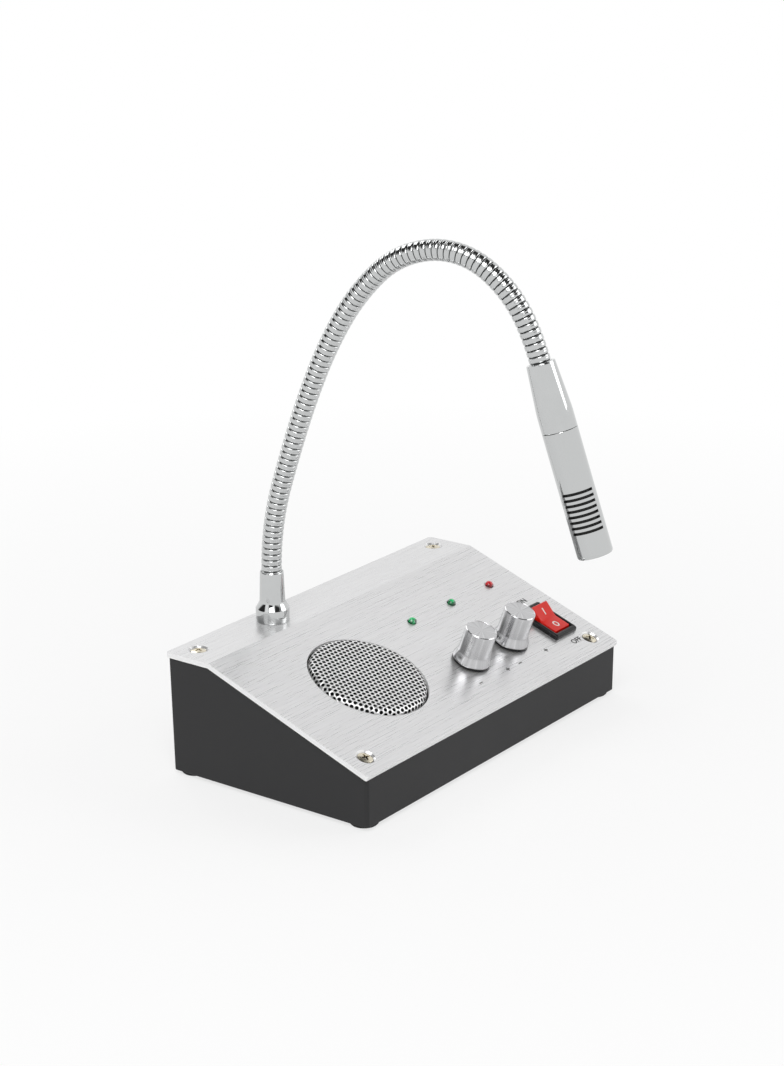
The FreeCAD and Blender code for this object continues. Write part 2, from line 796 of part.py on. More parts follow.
def in_rear_wall(shape, x):
    """Stands a shape in the rear wall: its own +Z points out, 0 is the wall's outer face at mid height."""
    tilt = math.degrees(math.atan2(housing_draft, rear_height))
    wall_y = panel_depth / 2 - housing_inset - housing_draft * (1 - socket_z / rear_height)
    turn = FreeCAD.Rotation(FreeCAD.Vector(1, 0, 0), -90 - tilt)
    return placed(shape, FreeCAD.Vector(x, wall_y, socket_z), turn)


def socket_shell(flange, barrel):
    """The flanged body of a socket, before it is bored."""
    rim = flange / 2
    neck = barrel / 2
    return faceted([(0, -socket_reach), (neck, -socket_reach), (neck, 0), (rim, 0),
                    (rim, socket_flange_height), (0, socket_flange_height)], socket_sides)


def power_socket():
    """Low-voltage inlet: flanged barrel with a centre pin."""
    top = socket_flange_height
    bottom = top - socket_bore_depth
    shell = socket_shell(power_socket_flange, power_socket_barrel)
    shell = shell.cut(flat_sided_rod(power_socket_bore, bottom, 2 * top, socket_sides))
    pin = flat_sided_rod(power_socket_pin, bottom, top - power_socket_pin_setback, socket_pin_sides)
    return in_rear_wall(shell.fuse(pin), power_socket_x)


def audio_socket():
    """Socket for the customer's side unit: flanged barrel with a plain bore."""
    top = socket_flange_height
    bore = rod(audio_socket_bore, top - socket_bore_depth, 2 * top)
    return in_rear_wall(socket_shell(audio_socket_flange, audio_socket_barrel).cut(bore), audio_socket_x)


def socket_nuts():
    """Nuts that hold the two sockets from inside the rear wall."""
    top = -housing_wall - socket_nut_gap
    power = plain_nut(power_nut_across_flats, power_socket_barrel, top - socket_nut_height, top)
    audio = plain_nut(audio_nut_across_flats, audio_socket_barrel, top - socket_nut_height, top)
    return group([in_rear_wall(power, power_socket_x), in_rear_wall(audio, audio_socket_x)])


def at_neck(shape):
    """Moves a shape from the gooseneck's frame: X ahead in its bend plane, Z up, 0 on the rear strip."""
    turn = FreeCAD.Rotation(FreeCAD.Vector(0, 0, 1), neck_heading_angle - 90)
    return placed(shape, FreeCAD.Vector(neck_x, neck_y, rear_height), turn)


def stud_length():
    """How far the ferrule's stud reaches below the panel's face."""
    return panel_sheet + neck_washer_sheet + neck_nut_height + stud_end


def neck_ferrule():
    """Turned ferrule: drum foot, short flare and a long slim taper, with a socket for the hose."""
    foot = ferrule_base_diameter / 2
    stud = stud_diameter / 2
    lead_way = hose_bore / 2
    socket = hose_diameter / 2 + hose_socket_gap
    seat = ferrule_height - ferrule_socket_depth
    return at_neck(faceted([(lead_way, -stud_length()), (stud, -stud_length()), (stud, 0),
                            (foot - ferrule_edge, 0), (foot, ferrule_edge), (foot, ferrule_base_height),
                            (ferrule_shoulder_diameter / 2, ferrule_shoulder_height),
                            (ferrule_top_diameter / 2, ferrule_height), (socket, ferrule_height),
                            (socket, seat), (lead_way, seat)], ferrule_sides))


def neck_washer():
    """Washer between the panel and the ferrule's nut."""
    top = -panel_sheet
    hole = (stud_diameter + 2 * thread_gap) / math.cos(math.pi / thread_sides)
    return at_neck(plain_ring(neck_washer_diameter, hole, top - neck_washer_sheet, top, thread_sides))


def neck_nut():
    """Nut that clamps the ferrule to the panel."""
    top = -panel_sheet - neck_washer_sheet
    return at_neck(plain_nut(neck_nut_across_flats, stud_diameter, top - neck_nut_height, top))


def ahead(heading):
    """Unit vector in the bend plane, at an angle from straight up towards +X."""
    turn = math.radians(heading)
    return FreeCAD.Vector(math.sin(turn), 0, math.cos(turn))


def arc_points(start, heading, length, bend):
    """Points along a circular arc, one for each knee of the hose."""
    knees = max(1, math.ceil(bend / hose_knee_angle))
    radius = length / math.radians(bend)
    centre = start + ahead(heading + 90) * radius
    return [centre - ahead(heading + 90 + bend * i / knees) * radius for i in range(knees + 1)]


def hose_joints():
    """Every joint of the hose from the ferrule to the microphone, as (centre, heading)."""
    foot = FreeCAD.Vector(0, 0, ferrule_height)
    points = arc_points(foot, 0, hose_lead, hose_lead_angle)
    heading = hose_lead_angle
    joints = [(points[-1], heading)]
    for bend in hose_link_angles:
        points = arc_points(points[-1], heading, hose_link, bend)
        heading = heading + bend
        joints.append((points[-1], heading))
    return joints


def mic_mouth():
    """Centre and heading of the microphone's upper rim, where the hose enters it."""
    centre, heading = hose_joints()[-1]
    points = arc_points(centre, heading, hose_tail, hose_tail_angle)
    return points[-1], heading + hose_tail_angle


def hose_ring(centre, heading, radius, half_knee):
    """Corners of a cross-section of the hose, widened where it lies on the mitre of a knee."""
    across = ahead(heading + 90) * (radius / math.cos(math.radians(half_knee)))
    aside = FreeCAD.Vector(0, radius, 0)
    turns = [2 * math.pi * i / hose_sides for i in range(hose_sides)]
    return [centre + across * math.cos(turn) + aside * math.sin(turn) for turn in turns]


def run_heading(start, end):
    """Heading of the straight run between two points of the bend plane."""
    return math.degrees(math.atan2(end.x - start.x, end.z - start.z))


def hose_piece(points, tail, mouth):
    """One length of hose, its rings set outside from tail to mouth and back through the bore.

    tail and mouth say how its ends are made, as (distance, radius) steps beyond its end points.
    """
    ways = [run_heading(start, end) for start, end in zip(points, points[1:])]
    knees = [(point, (before + after) / 2, (after - before) / 2)
             for point, before, after in zip(points[1:], ways, ways[1:])]
    rings = [hose_ring(points[0] - ahead(ways[0]) * step, ways[0], radius, 0) for step, radius in tail]
    rings += [hose_ring(point, heading, hose_diameter / 2, half) for point, heading, half in knees]
    rings += [hose_ring(points[-1] + ahead(ways[-1]) * step, ways[-1], radius, 0) for step, radius in mouth]
    rings += [hose_ring(point, heading, hose_bore / 2, half) for point, heading, half in knees[::-1]]
    return at_neck(ring_body(rings))


def hose_tail_end():
    """Chamfered tail, which turns inside the mouth of the length before it."""
    radius = hose_diameter / 2
    tail = radius * math.sin(math.radians(45))
    return [(tail, hose_bore / 2), (tail, tail), (0, radius)]


def hose_mouth_end():
    """Mouth chamfered inside, clear of the next length's tail wherever that turns."""
    radius = hose_diameter / 2
    rim = (radius + hose_joint_gap) * math.sqrt(2) - radius
    return [(-rim, radius), (-rim - radius + hose_bore / 2, hose_bore / 2)]


def hose_root():
    """Lowest length of hose, seated in the ferrule."""
    foot = FreeCAD.Vector(0, 0, ferrule_height)
    seat = foot - ahead(0) * ferrule_socket_depth
    points = [seat] + arc_points(foot, 0, hose_lead, hose_lead_angle)
    return hose_piece(points, [(0, hose_bore / 2), (0, hose_diameter / 2)], hose_mouth_end())


def hose_links():
    """The free lengths of hose between the joints, in order from the foot."""
    return [hose_piece(arc_points(centre, heading, hose_link, bend), hose_tail_end(), hose_mouth_end())
            for (centre, heading), bend in zip(hose_joints(), hose_link_angles)]


def hose_tip():
    """Last length of hose, seated in the microphone's neck."""
    centre, heading = hose_joints()[-1]
    mouth, way = mic_mouth()
    points = arc_points(centre, heading, hose_tail, hose_tail_angle) + [mouth + ahead(way) * mic_socket_depth]
    return hose_piece(points, hose_tail_end(), [(0, hose_diameter / 2), (0, hose_bore / 2)])


def at_mic(shape):
    """Moves a shape from the microphone's frame: Z along its axis, 0 at the upper rim, to its place."""
    mouth, way = mic_mouth()
    return at_neck(placed(shape, mouth, FreeCAD.Rotation(FreeCAD.Vector(0, 1, 0), way)))


def mic_neck():
    """Turned neck: tapers out from the hose to the barrel, which screws on to its spigot."""
    rim = mic_rim_diameter / 2
    body = mic_diameter / 2
    spigot = body - mic_wall - mic_fit
    socket = hose_diameter / 2 + hose_socket_gap
    end = mic_neck_length + mic_spigot_length
    return at_mic(faceted([(socket, 0), (rim, 0), (body, mic_taper), (body, mic_neck_length),
                           (spigot, mic_neck_length), (spigot, end), (socket, end)], mic_sides))


def mic_slots():
    """Cutters for the sound slots, one row of short cross cuts on the side turned out to the room."""
    cutters = []
    reach = mic_diameter / 2
    for i in range(mic_slot_count):
        low = mic_slot_start + i * mic_slot_pitch
        cutter = moved(block(2 * mic_slot_depth, 2 * reach, low, low + mic_slot_width), reach, 0, 0)
        cutter.rotate(FreeCAD.Vector(0, 0, 0), FreeCAD.Vector(0, 0, 1), mic_slot_angle)
        cutters.append(cutter)
    return cutters


def mic_barrel():
    """Turned barrel, closed and chamfered at its free end, slotted round the capsule."""
    body = mic_diameter / 2
    end = mic_neck_length + mic_barrel_length
    inner = body - mic_wall
    outside = faceted([(inner, mic_neck_length), (body, mic_neck_length), (body, end - mic_edge),
                       (body - mic_edge, end), (0, end), (0, end - mic_end_wall),
                       (inner, end - mic_end_wall)], mic_sides)
    return at_mic(outside.cut(mic_slots()))


def capsule_top():
    """Where the capsule's rubber holder begins, measured from the microphone's rim."""
    return mic_neck_length + capsule_setback


def capsule_holder():
    """Rubber ring that centres the capsule in the barrel."""
    outer = mic_diameter - 2 * mic_wall - 2 * mic_fit
    inner = capsule_diameter + 4 * mic_fit
    low = capsule_top()
    return at_mic(plain_ring(outer, inner, low, low + capsule_holder_height, capsule_sides))


def mic_capsule():
    """Electret capsule."""
    low = capsule_top() + (capsule_holder_height - capsule_height) / 2
    high = low + capsule_height
    radius = capsule_diameter / 2
    return at_mic(faceted([(0, low), (radius, low), (radius, high), (0, high)], capsule_sides))


os.makedirs("parts", exist_ok=True)
save(housing(), "housing")
save(rubber_feet(), "rubber_feet")
save(top_panel(), "top_panel")
save(panel_screws(), "panel_screws")
save(speaker_grille(), "speaker_grille")
save(speaker_basket(), "speaker_basket")
save(speaker_cone(), "speaker_cone")
save(speaker_magnet(), "speaker_magnet")
save(pot_washers(), "pot_washers")
save(pot_nuts(), "pot_nuts")
for side_name, column in zip(("inside", "outside"), knob_columns):
    save(volume_pot(column), side_name + "_volume_pot")
    save(pot_shaft(column), side_name + "_volume_shaft")
    save(volume_knob(column), side_name + "_volume_knob")
    save(indicator_lamp(column), side_name + "_level_lamp")
save(indicator_lamp(switch_x), "power_lamp")
save(switch_body(), "switch_body")
save(switch_rocker(), "switch_rocker")
save(switch_terminals(), "switch_terminals")
save(control_board(), "control_board")
save(amplifier_chip(), "amplifier_chip")
save(board_capacitors(), "board_capacitors")
save(board_connectors(), "board_connectors")
save(power_socket(), "power_socket")
save(audio_socket(), "audio_socket")
save(socket_nuts(), "socket_nuts")
save(neck_ferrule(), "neck_ferrule")
save(neck_washer(), "neck_washer")
save(neck_nut(), "neck_nut")
save(hose_root(), "hose_root")
for number, link in enumerate(hose_links(), 1):
    save(link, "hose_link_" + str(number))
save(hose_tip(), "hose_tip")
save(mic_neck(), "mic_neck")
save(mic_barrel(), "mic_barrel")
save(capsule_holder(), "capsule_holder")
save(mic_capsule(), "mic_capsule")
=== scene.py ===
import json

import bmesh
import bpy
import numpy as np
from mathutils import Matrix, Vector


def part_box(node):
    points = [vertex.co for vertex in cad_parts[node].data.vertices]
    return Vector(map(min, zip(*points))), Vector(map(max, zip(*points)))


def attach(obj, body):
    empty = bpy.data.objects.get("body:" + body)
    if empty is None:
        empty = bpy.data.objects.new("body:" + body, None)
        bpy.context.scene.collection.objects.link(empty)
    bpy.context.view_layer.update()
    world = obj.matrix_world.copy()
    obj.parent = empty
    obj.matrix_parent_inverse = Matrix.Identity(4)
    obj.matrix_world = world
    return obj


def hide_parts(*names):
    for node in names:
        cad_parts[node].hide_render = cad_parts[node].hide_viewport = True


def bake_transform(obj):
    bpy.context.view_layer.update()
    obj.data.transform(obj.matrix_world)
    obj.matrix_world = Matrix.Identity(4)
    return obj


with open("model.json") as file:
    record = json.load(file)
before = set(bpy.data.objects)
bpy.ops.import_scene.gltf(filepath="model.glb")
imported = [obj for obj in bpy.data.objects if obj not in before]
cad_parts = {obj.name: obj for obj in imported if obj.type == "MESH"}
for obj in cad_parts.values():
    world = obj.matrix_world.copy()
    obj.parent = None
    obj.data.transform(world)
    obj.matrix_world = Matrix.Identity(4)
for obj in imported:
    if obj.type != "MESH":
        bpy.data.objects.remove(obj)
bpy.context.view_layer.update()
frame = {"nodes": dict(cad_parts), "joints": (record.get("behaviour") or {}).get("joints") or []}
nodes = frame["nodes"]
mm = 0.001


# ---- Housing ----
# A deep tub moulded in charcoal plastic with a fine spark-eroded grain. The metal top closes it,
# and its flat underside is left plain for the feet.

class Signal:
    """A shader value; working with it in an expression adds the Math nodes that compute it."""

    def __init__(self, finish, socket):
        self.finish = finish
        self.socket = socket

    def math(self, operation, *others):
        return self.finish.node("ShaderNodeMath", {"operation": operation}, (self, *others))

    def __add__(self, other):
        return self.math("ADD", other)

    def __sub__(self, other):
        return self.math("SUBTRACT", other)

    def __rsub__(self, other):
        return self.finish.node("ShaderNodeMath", {"operation": "SUBTRACT"}, (other, self))

    def __mul__(self, other):
        return self.math("MULTIPLY", other)

    def __truediv__(self, other):
        return self.math("DIVIDE", other)

    def __pow__(self, other):
        return self.math("POWER", other)

    def __gt__(self, other):
        return self.math("GREATER_THAN", other)

    __radd__ = __add__
    __rmul__ = __mul__


class Finish:
    """A material, or the world, being put together round its first shader."""

    def __init__(self, owner, shader="ShaderNodeBsdfPrincipled"):
        self.material = bpy.data.materials.new(owner) if isinstance(owner, str) else owner
        self.material.use_nodes = True
        self.tree = self.material.node_tree
        self.shader = next(n for n in self.tree.nodes if n.bl_idname == shader)

    def node(self, kind, settings, values, output=0):
        """Adds a node: its settings first, then a value or link for each input, by place or by name."""
        made = self.tree.nodes.new(kind)
        for key, setting in settings.items():
            if key == "stops":
                stops = made.color_ramp.elements
                while len(stops) < len(setting):
                    stops.new(0.5)
                for stop, (position, colour) in zip(stops, setting):
                    stop.position = position
                    stop.color = (*colour, 1.0)
            else:
                setattr(made, key, setting)
        pairs = values.items() if isinstance(values, dict) else enumerate(values)
        for key, value in pairs:
            self.feed(made.inputs[key], value)
        return Signal(self, made.outputs[output])

    def feed(self, socket, value):
        """Links a signal to a socket, or sets the socket to a plain number or colour."""
        if isinstance(value, Signal):
            self.tree.links.new(value.socket, socket)
        elif socket.type == "RGBA":
            socket.default_value = (*value, 1.0)
        else:
            socket.default_value = value

    def place(self, stretch=(1.0, 1.0, 1.0)):
        """Object coordinates in millimetres, squeezed along each axis by stretch."""
        here = self.node("ShaderNodeTexCoord", {}, (), "Object")
        scale = tuple(part / mm for part in stretch)
        return self.node("ShaderNodeMapping", {}, {"Vector": here, "Scale": scale})

    def noise(self, place, scale, detail=2.0):
        """Smooth noise from 0 to 1, scale features to a millimetre."""
        return self.node("ShaderNodeTexNoise", {}, {"Vector": place, "Scale": scale, "Detail": detail})

    def apart(self, place):
        """The three parts of a place, each a signal of its own."""
        first = self.node("ShaderNodeSeparateXYZ", {}, (place,))
        return [Signal(self, socket) for socket in first.socket.node.outputs]

    def blend(self, factor, low, high):
        """A colour between two others."""
        return self.node("ShaderNodeMix", {"data_type": "RGBA"}, {0: factor, 6: low, 7: high}, 2)

    def relief(self, height, distance, strength=1.0):
        """A surface that rises and falls by distance, in millimetres, as height goes from 0 to 1."""
        return self.node("ShaderNodeBump", {}, {"Height": height, "Distance": distance * mm,
                                                "Strength": strength})

    def surface(self, values):
        """Sets or links the shader's own sockets, by name."""
        for key, value in values.items():
            self.feed(self.shader.inputs[key], value)
        return self.material


def dress(piece, material):
    """Gives a piece its material."""
    piece.data.materials.clear()
    piece.data.materials.append(material)
    return piece


def add_piece(name, mesh, body):
    """Puts a finished mesh in the scene, on the body that carries it."""
    piece = bpy.data.objects.new(name, mesh)
    bpy.context.scene.collection.objects.link(piece)
    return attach(piece, body) if body else piece


def tidy(work, name, crease=32.0):
    """Merges doubled points, turns all faces outwards and shades smooth between creases."""
    bmesh.ops.remove_doubles(work, verts=work.verts, dist=0.0005 * mm)
    bmesh.ops.dissolve_degenerate(work, edges=work.edges, dist=0.0002 * mm)
    bmesh.ops.recalc_face_normals(work, faces=work.faces)
    mesh = bpy.data.meshes.new(name)
    work.to_mesh(mesh)
    work.free()
    mesh.polygons.foreach_set("use_smooth", np.ones(len(mesh.polygons), bool))
    mesh.set_sharp_from_angle(angle=np.radians(crease))
    return mesh


def eased_copy(name, node, edge, body, material):
    """The solid's own shape with its edges broken by a small bevel."""
    work = bmesh.new()
    work.from_mesh(nodes[node].data)
    bmesh.ops.remove_doubles(work, verts=work.verts, dist=0.001 * mm)
    bmesh.ops.dissolve_limit(work, angle_limit=np.radians(0.5), verts=work.verts, edges=work.edges)
    piece = add_piece(name, tidy(work, name), body)
    bevel = piece.modifiers.new("edges", "BEVEL")
    bevel.width = edge * mm
    bevel.segments = 2
    bevel.limit_method = "ANGLE"
    bevel.angle_limit = np.radians(25.0)
    bevel.use_clamp_overlap = True
    bevel.harden_normals = False
    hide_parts(node)
    return dress(piece, material)


def moulded_plastic(name, colour, roughness, grain):
    """Plastic with the fine grain of its mould: tight noise as relief, a faint cloud in the gloss."""
    finish = Finish(name)
    place = finish.place()
    speck = finish.noise(place, 3.2)
    cloud = finish.noise(place, 0.05, 3.0)
    tone = finish.blend(cloud, tuple(0.9 * part for part in colour), tuple(1.1 * part for part in colour))
    return finish.surface({"Base Color": tone,
                           "Roughness": roughness + 0.1 * (cloud - 0.5) + 0.08 * (speck - 0.5),
                           "Normal": finish.relief(speck, grain), "Specular IOR Level": 0.3})


charcoal = moulded_plastic("charcoal moulding", (0.023, 0.023, 0.024), 0.55, 0.02)
eased_copy("housing_shell", "housing", 0.35, "base", charcoal)


# ---- Top panel ----
# One sheet of aluminium, bent once, its openings punched and its face brushed along its length.
# The cut edges are left bright.

def brushed_metal(name, colour, roughness, metallic=1.0):
    """Brushed sheet: noise drawn out along X, in the tone, the gloss and the relief."""
    finish = Finish(name)
    fine = finish.noise(finish.place((0.016, 1.0, 1.0)), 8.0, 3.0)
    broad = finish.noise(finish.place((0.01, 1.0, 1.0)), 2.0, 2.0)
    streak = 0.6 * fine + 0.4 * broad
    tone = finish.blend((streak - 0.3) * 2.6, tuple(0.76 * part for part in colour), colour)
    return finish.surface({"Base Color": tone, "Metallic": metallic,
                           "Roughness": roughness + 0.16 * (streak - 0.5),
                           "Normal": finish.relief(fine, 0.005, 0.6)})


brushed_sheet = brushed_metal("brushed aluminium", (0.82, 0.82, 0.825), 0.29, 0.7)
sheet = eased_copy("panel_sheet", "top_panel", 0.18, "base", brushed_sheet)
cut_edge = Finish("cut edge")
cut_edge.surface({"Base Color": (0.88, 0.88, 0.88), "Metallic": 0.25,
                  "Roughness": 0.35 + 0.2 * cut_edge.noise(cut_edge.place(), 6.0)})
sheet.data.materials.append(cut_edge.material)
for face in sheet.data.polygons:
    face.material_index = int(abs(face.normal.z) < 0.5)


# ---- Rubber feet ----
# Four round rubber buttons with a rounded tread, stuck near the corners of the underside.

def set_at(points, place):
    """Carries points given in a frame, in millimetres, to their place in the model."""
    axes = np.array(place[:3], float)
    return (points @ axes + np.array(place[3])) * mm


def skin(name, points, closed=True, capped=True, crease=32.0):
    """A mesh over a grid of points: rows join into rings if closed, and both end rows fill if capped."""
    rows, columns = points.shape[:2]
    index = np.arange(rows * columns).reshape(rows, columns)
    near = index if closed else index[:, :-1]
    far = np.roll(index, -1, axis=1) if closed else index[:, 1:]
    quads = np.stack([near[:-1], far[:-1], far[1:], near[1:]], axis=-1).reshape(-1, 4)
    ends = [index[0].tolist()[::-1], index[-1].tolist()] if capped else []
    mesh = bpy.data.meshes.new(name)
    mesh.from_pydata(points.reshape(-1, 3).tolist(), [], quads.tolist() + ends)
    work = bmesh.new()
    work.from_mesh(mesh)
    bpy.data.meshes.remove(mesh)
    return tidy(work, name, crease)


def turning(profile, count):
    """Rings about Z: each (radius, height) of the profile is carried once round, in count steps."""
    turn = np.linspace(0.0, 2.0 * np.pi, count, endpoint=False)
    radius = profile[:, :1]
    return np.stack([radius * np.cos(turn), radius * np.sin(turn), profile[:, 1:] + 0.0 * turn], axis=-1)


soft_black = moulded_plastic("black rubber", (0.02, 0.02, 0.02), 0.75, 0.03)
foot_low, foot_high = (np.array(corner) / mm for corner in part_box("rubber_feet"))
foot_to_rim = 4.0
foot_profile = np.array([(0.0, foot_low[2]), (4.0, foot_low[2]), (4.9, foot_low[2] + 0.2),
                         (5.4, foot_low[2] + 0.7), (5.5, foot_high[2]), (0.0, foot_high[2])])
for side in (-1, 1):
    for end in (-1, 1):
        name = "foot_" + ("left" if side < 0 else "right") + ("_front" if end < 0 else "_rear")
        middle = [side * (foot_high[0] - foot_to_rim), end * (foot_high[1] - foot_to_rim), 0.0]
        stuck = np.eye(3).tolist() + [middle]
        foot = add_piece(name, skin(name, set_at(turning(foot_profile, 48), stuck), capped=False), "base")
        dress(foot, soft_black)
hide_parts("rubber_feet")


# ---- Panel screws ----
# Four nickel-plated cross-recessed screws, their crowned heads sunk in the panel's countersinks.

panel_low, panel_high = (np.array(corner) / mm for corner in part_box("top_panel"))
strip_depth = 21.0
front_height = 21.0
fold = np.array([0.0, panel_high[1] - strip_depth, panel_high[2]])
front_edge = np.array([0.0, panel_low[1], front_height])
up_slope = (fold - front_edge) / np.linalg.norm(fold - front_edge)
outwards = np.cross((1.0, 0.0, 0.0), up_slope)


def on_slope(x, climb):
    """The frame of a point of the slope: X across, Y up the slope, Z out of the panel."""
    return (1.0, 0.0, 0.0), up_slope, outwards, front_edge + np.array([x, 0.0, 0.0]) + climb * up_slope


def on_strip(x, y):
    """The frame of a point of the level strip along the rear."""
    return (1.0, 0.0, 0.0), (0.0, 1.0, 0.0), (0.0, 0.0, 1.0), np.array([x, y, panel_high[2]])


def screw_head(turn_of_recess):
    """A crown falling as the square of the radius, less a cross whose walls lean in as they go down."""
    radius = np.concatenate([np.linspace(0.0, 1.9, 39), np.linspace(2.0, 3.0, 9)])[:, None]
    turn = np.linspace(0.0, 2.0 * np.pi, 144, endpoint=False)
    x = radius * np.cos(turn)
    y = radius * np.sin(turn)
    across = x * np.cos(turn_of_recess) + y * np.sin(turn_of_recess)
    along = y * np.cos(turn_of_recess) - x * np.sin(turn_of_recess)
    arm_half = 0.42
    arm_reach = 1.7
    arm = np.minimum(np.maximum(np.abs(across) - arm_half, (np.abs(along) - arm_reach) * 0.7),
                     np.maximum(np.abs(along) - arm_half, (np.abs(across) - arm_reach) * 0.7))
    depth = 0.95 * np.clip(-arm / 0.16, 0.0, 1.0)
    top = np.stack([x, y, -0.5 + 0.55 * (1.0 - (radius / 3.0) ** 2) - depth], axis=-1)
    return np.concatenate([turning(np.array([(0.0, -2.0), (1.75, -2.0)]), 144), top[::-1]])


def paint_recess_shade(piece, material, place, depth):
    """Paints shade on the faces that lie deeper than depth under the panel's face: a flat black where a
    recess is in shadow.
    """
    piece.data.materials.append(material)
    way = np.array(place[2])
    for face in piece.data.polygons:
        under = (np.array(face.center) / mm - np.array(place[3])) @ way
        face.material_index = int(under < -depth)


nickel = brushed_metal("nickel plate", (0.80, 0.74, 0.60), 0.22)
# A flat black that is painted shade: in the screws' cross recesses, in the grille's holes and on its flange.
painted_shade_black = moulded_plastic("painted recess shade", (0.012, 0.011, 0.010), 0.7, 0.004)
screw_spots = [on_slope(-75.7, 8.3), on_slope(75.7, 8.3), on_strip(-75.7, 39.2), on_strip(75.7, 39.2)]
for number, spot in enumerate(screw_spots, 1):
    name = "panel_screw_" + str(number)
    head = skin(name, set_at(screw_head(0.4 + 0.9 * number), spot), capped=False, crease=40.0)
    screw = dress(add_piece(name, head, "base"), nickel)
    # The cross recess and the shank below it get painted shade.
    paint_recess_shade(screw, painted_shade_black, spot, 0.52)
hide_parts("panel_screws")


# ---- Loudspeaker and grille ----
# A dish pressed from plated sheet that was perforated flat in a staggered pattern, so the holes run
# on over its rolled rim. Its flange is held under the panel, painted flat black as shade, and the
# loudspeaker is clamped behind it.

grille_place = on_slope(-34.3, 40.2)
flat_radius = 20.8
roll_radius = 2.6
roll_turn = np.radians(78.0)
dish_height = 1.5


def rolled(flat):
    """The dish: a flat disc, then its outer part turned down over an arc."""
    reach = np.linalg.norm(flat, axis=-1)
    bend = np.clip((reach - flat_radius) / roll_radius, 0.0, roll_turn)
    drop = np.clip(reach - flat_radius - roll_radius * roll_turn, 0.0, None)
    radius = np.minimum(reach, flat_radius) + roll_radius * np.sin(bend) + drop * np.cos(roll_turn)
    height = dish_height - roll_radius * (1.0 - np.cos(bend)) - drop * np.sin(roll_turn)
    scale = np.where(reach > 0.0, radius / np.maximum(reach, 1e-9), 1.0)
    return np.concatenate([flat * scale[..., None], height[..., None]], axis=-1)


def perforated_sheet(pitch, hole, rim):
    """Staggered six-sided cells, each ringed round its hole; cells past the rim are drawn in to it."""
    span = int(rim / pitch) + 2
    row, column = np.meshgrid(np.arange(-span, span + 1), np.arange(-span, span + 1), indexing="ij")
    centre = np.stack([(column + 0.5 * (row % 2)) * pitch, row * pitch * np.sin(np.radians(60.0))], axis=-1)
    centre = centre.reshape(-1, 2)
    centre = centre[np.linalg.norm(centre, axis=1) < rim + 0.6 * pitch]
    turn = np.radians(30.0 * np.arange(12))
    spoke = np.stack([np.cos(turn), np.sin(turn)], axis=-1)
    edge = 0.5 * pitch / np.cos(np.radians(30.0 * (np.arange(12) % 2)))
    cell = centre[:, None] + spoke * edge[:, None]
    far = np.linalg.norm(cell, axis=-1, keepdims=True)
    cell = cell * np.minimum(1.0, rim / np.maximum(far, 1e-9))
    open_cell = np.linalg.norm(centre, axis=1) < rim - 0.55 * pitch
    middle = centre[:, None] + spoke * np.where(open_cell, 0.5 * hole, 0.0)[:, None, None]
    middle[~open_cell] = cell[~open_cell].mean(axis=1, keepdims=True)
    points = np.concatenate([cell, middle], axis=1).reshape(-1, 2)
    start = 24 * np.arange(len(centre))[:, None]
    step = np.arange(12)
    following = (step + 1) % 12
    quads = np.stack([start + step, start + following, start + 12 + following, start + 12 + step], axis=-1)
    return points, quads.reshape(-1, 4)


hole_pitch = 2.1
hole_width = 1.5
sheet_rim = 25.4
flat_sheet, grille_quads = perforated_sheet(hole_pitch, hole_width, sheet_rim)
grille_mesh = bpy.data.meshes.new("grille_cells")
grille_mesh.from_pydata(set_at(rolled(flat_sheet), grille_place).tolist(), [], grille_quads.tolist())
grille_work = bmesh.new()
grille_work.from_mesh(grille_mesh)
bmesh.ops.remove_doubles(grille_work, verts=grille_work.verts, dist=0.002 * mm)
bmesh.ops.dissolve_degenerate(grille_work, edges=grille_work.edges, dist=0.001 * mm)
grille_dish = add_piece("grille_dish", tidy(grille_work, "grille_dish", 50.0), "base")
thickness = grille_dish.modifiers.new("sheet", "SOLIDIFY")
thickness.thickness = 0.45 * mm
thickness.offset = -1.0
# The walls of the holes and the sheet's outer edge take painted shade, a flat black.
thickness.material_offset_rim = 1
plated_sheet = brushed_metal("plated sheet", (0.95, 0.95, 0.95), 0.32)
dress(grille_dish, plated_sheet)
grille_dish.data.materials.append(painted_shade_black)
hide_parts("speaker_grille")

flange_profile = np.array([(23.2, -2.05), (26.4, -2.05), (26.4, -2.75), (23.2, -2.75), (23.2, -2.05)])
flange_mesh = skin("grille_flange", set_at(turning(flange_profile, 96), grille_place), capped=False)
grille_flange = add_piece("grille_flange", flange_mesh, "base")
# The flange gets painted shade, a flat black, where it lies in shadow under the panel.
dress(grille_flange, painted_shade_black)

black_paint = moulded_plastic("black lacquer", (0.004, 0.004, 0.004), 0.6, 0.008)
black_paper = moulded_plastic("coated paper", (0.004, 0.004, 0.004), 0.9, 0.05)
sintered = moulded_plastic("sintered ferrite", (0.03, 0.03, 0.032), 0.6, 0.02)
dress(nodes["speaker_basket"], black_paint)
dress(nodes["speaker_cone"], black_paper)
dress(nodes["speaker_magnet"], sintered)


# ---- Volume controls ----
# Knobs turned from bright aluminium bar, faced in fine rings and pushed on the flatted shafts of two
# potentiometers, whose nuts and washers the knobs hide.

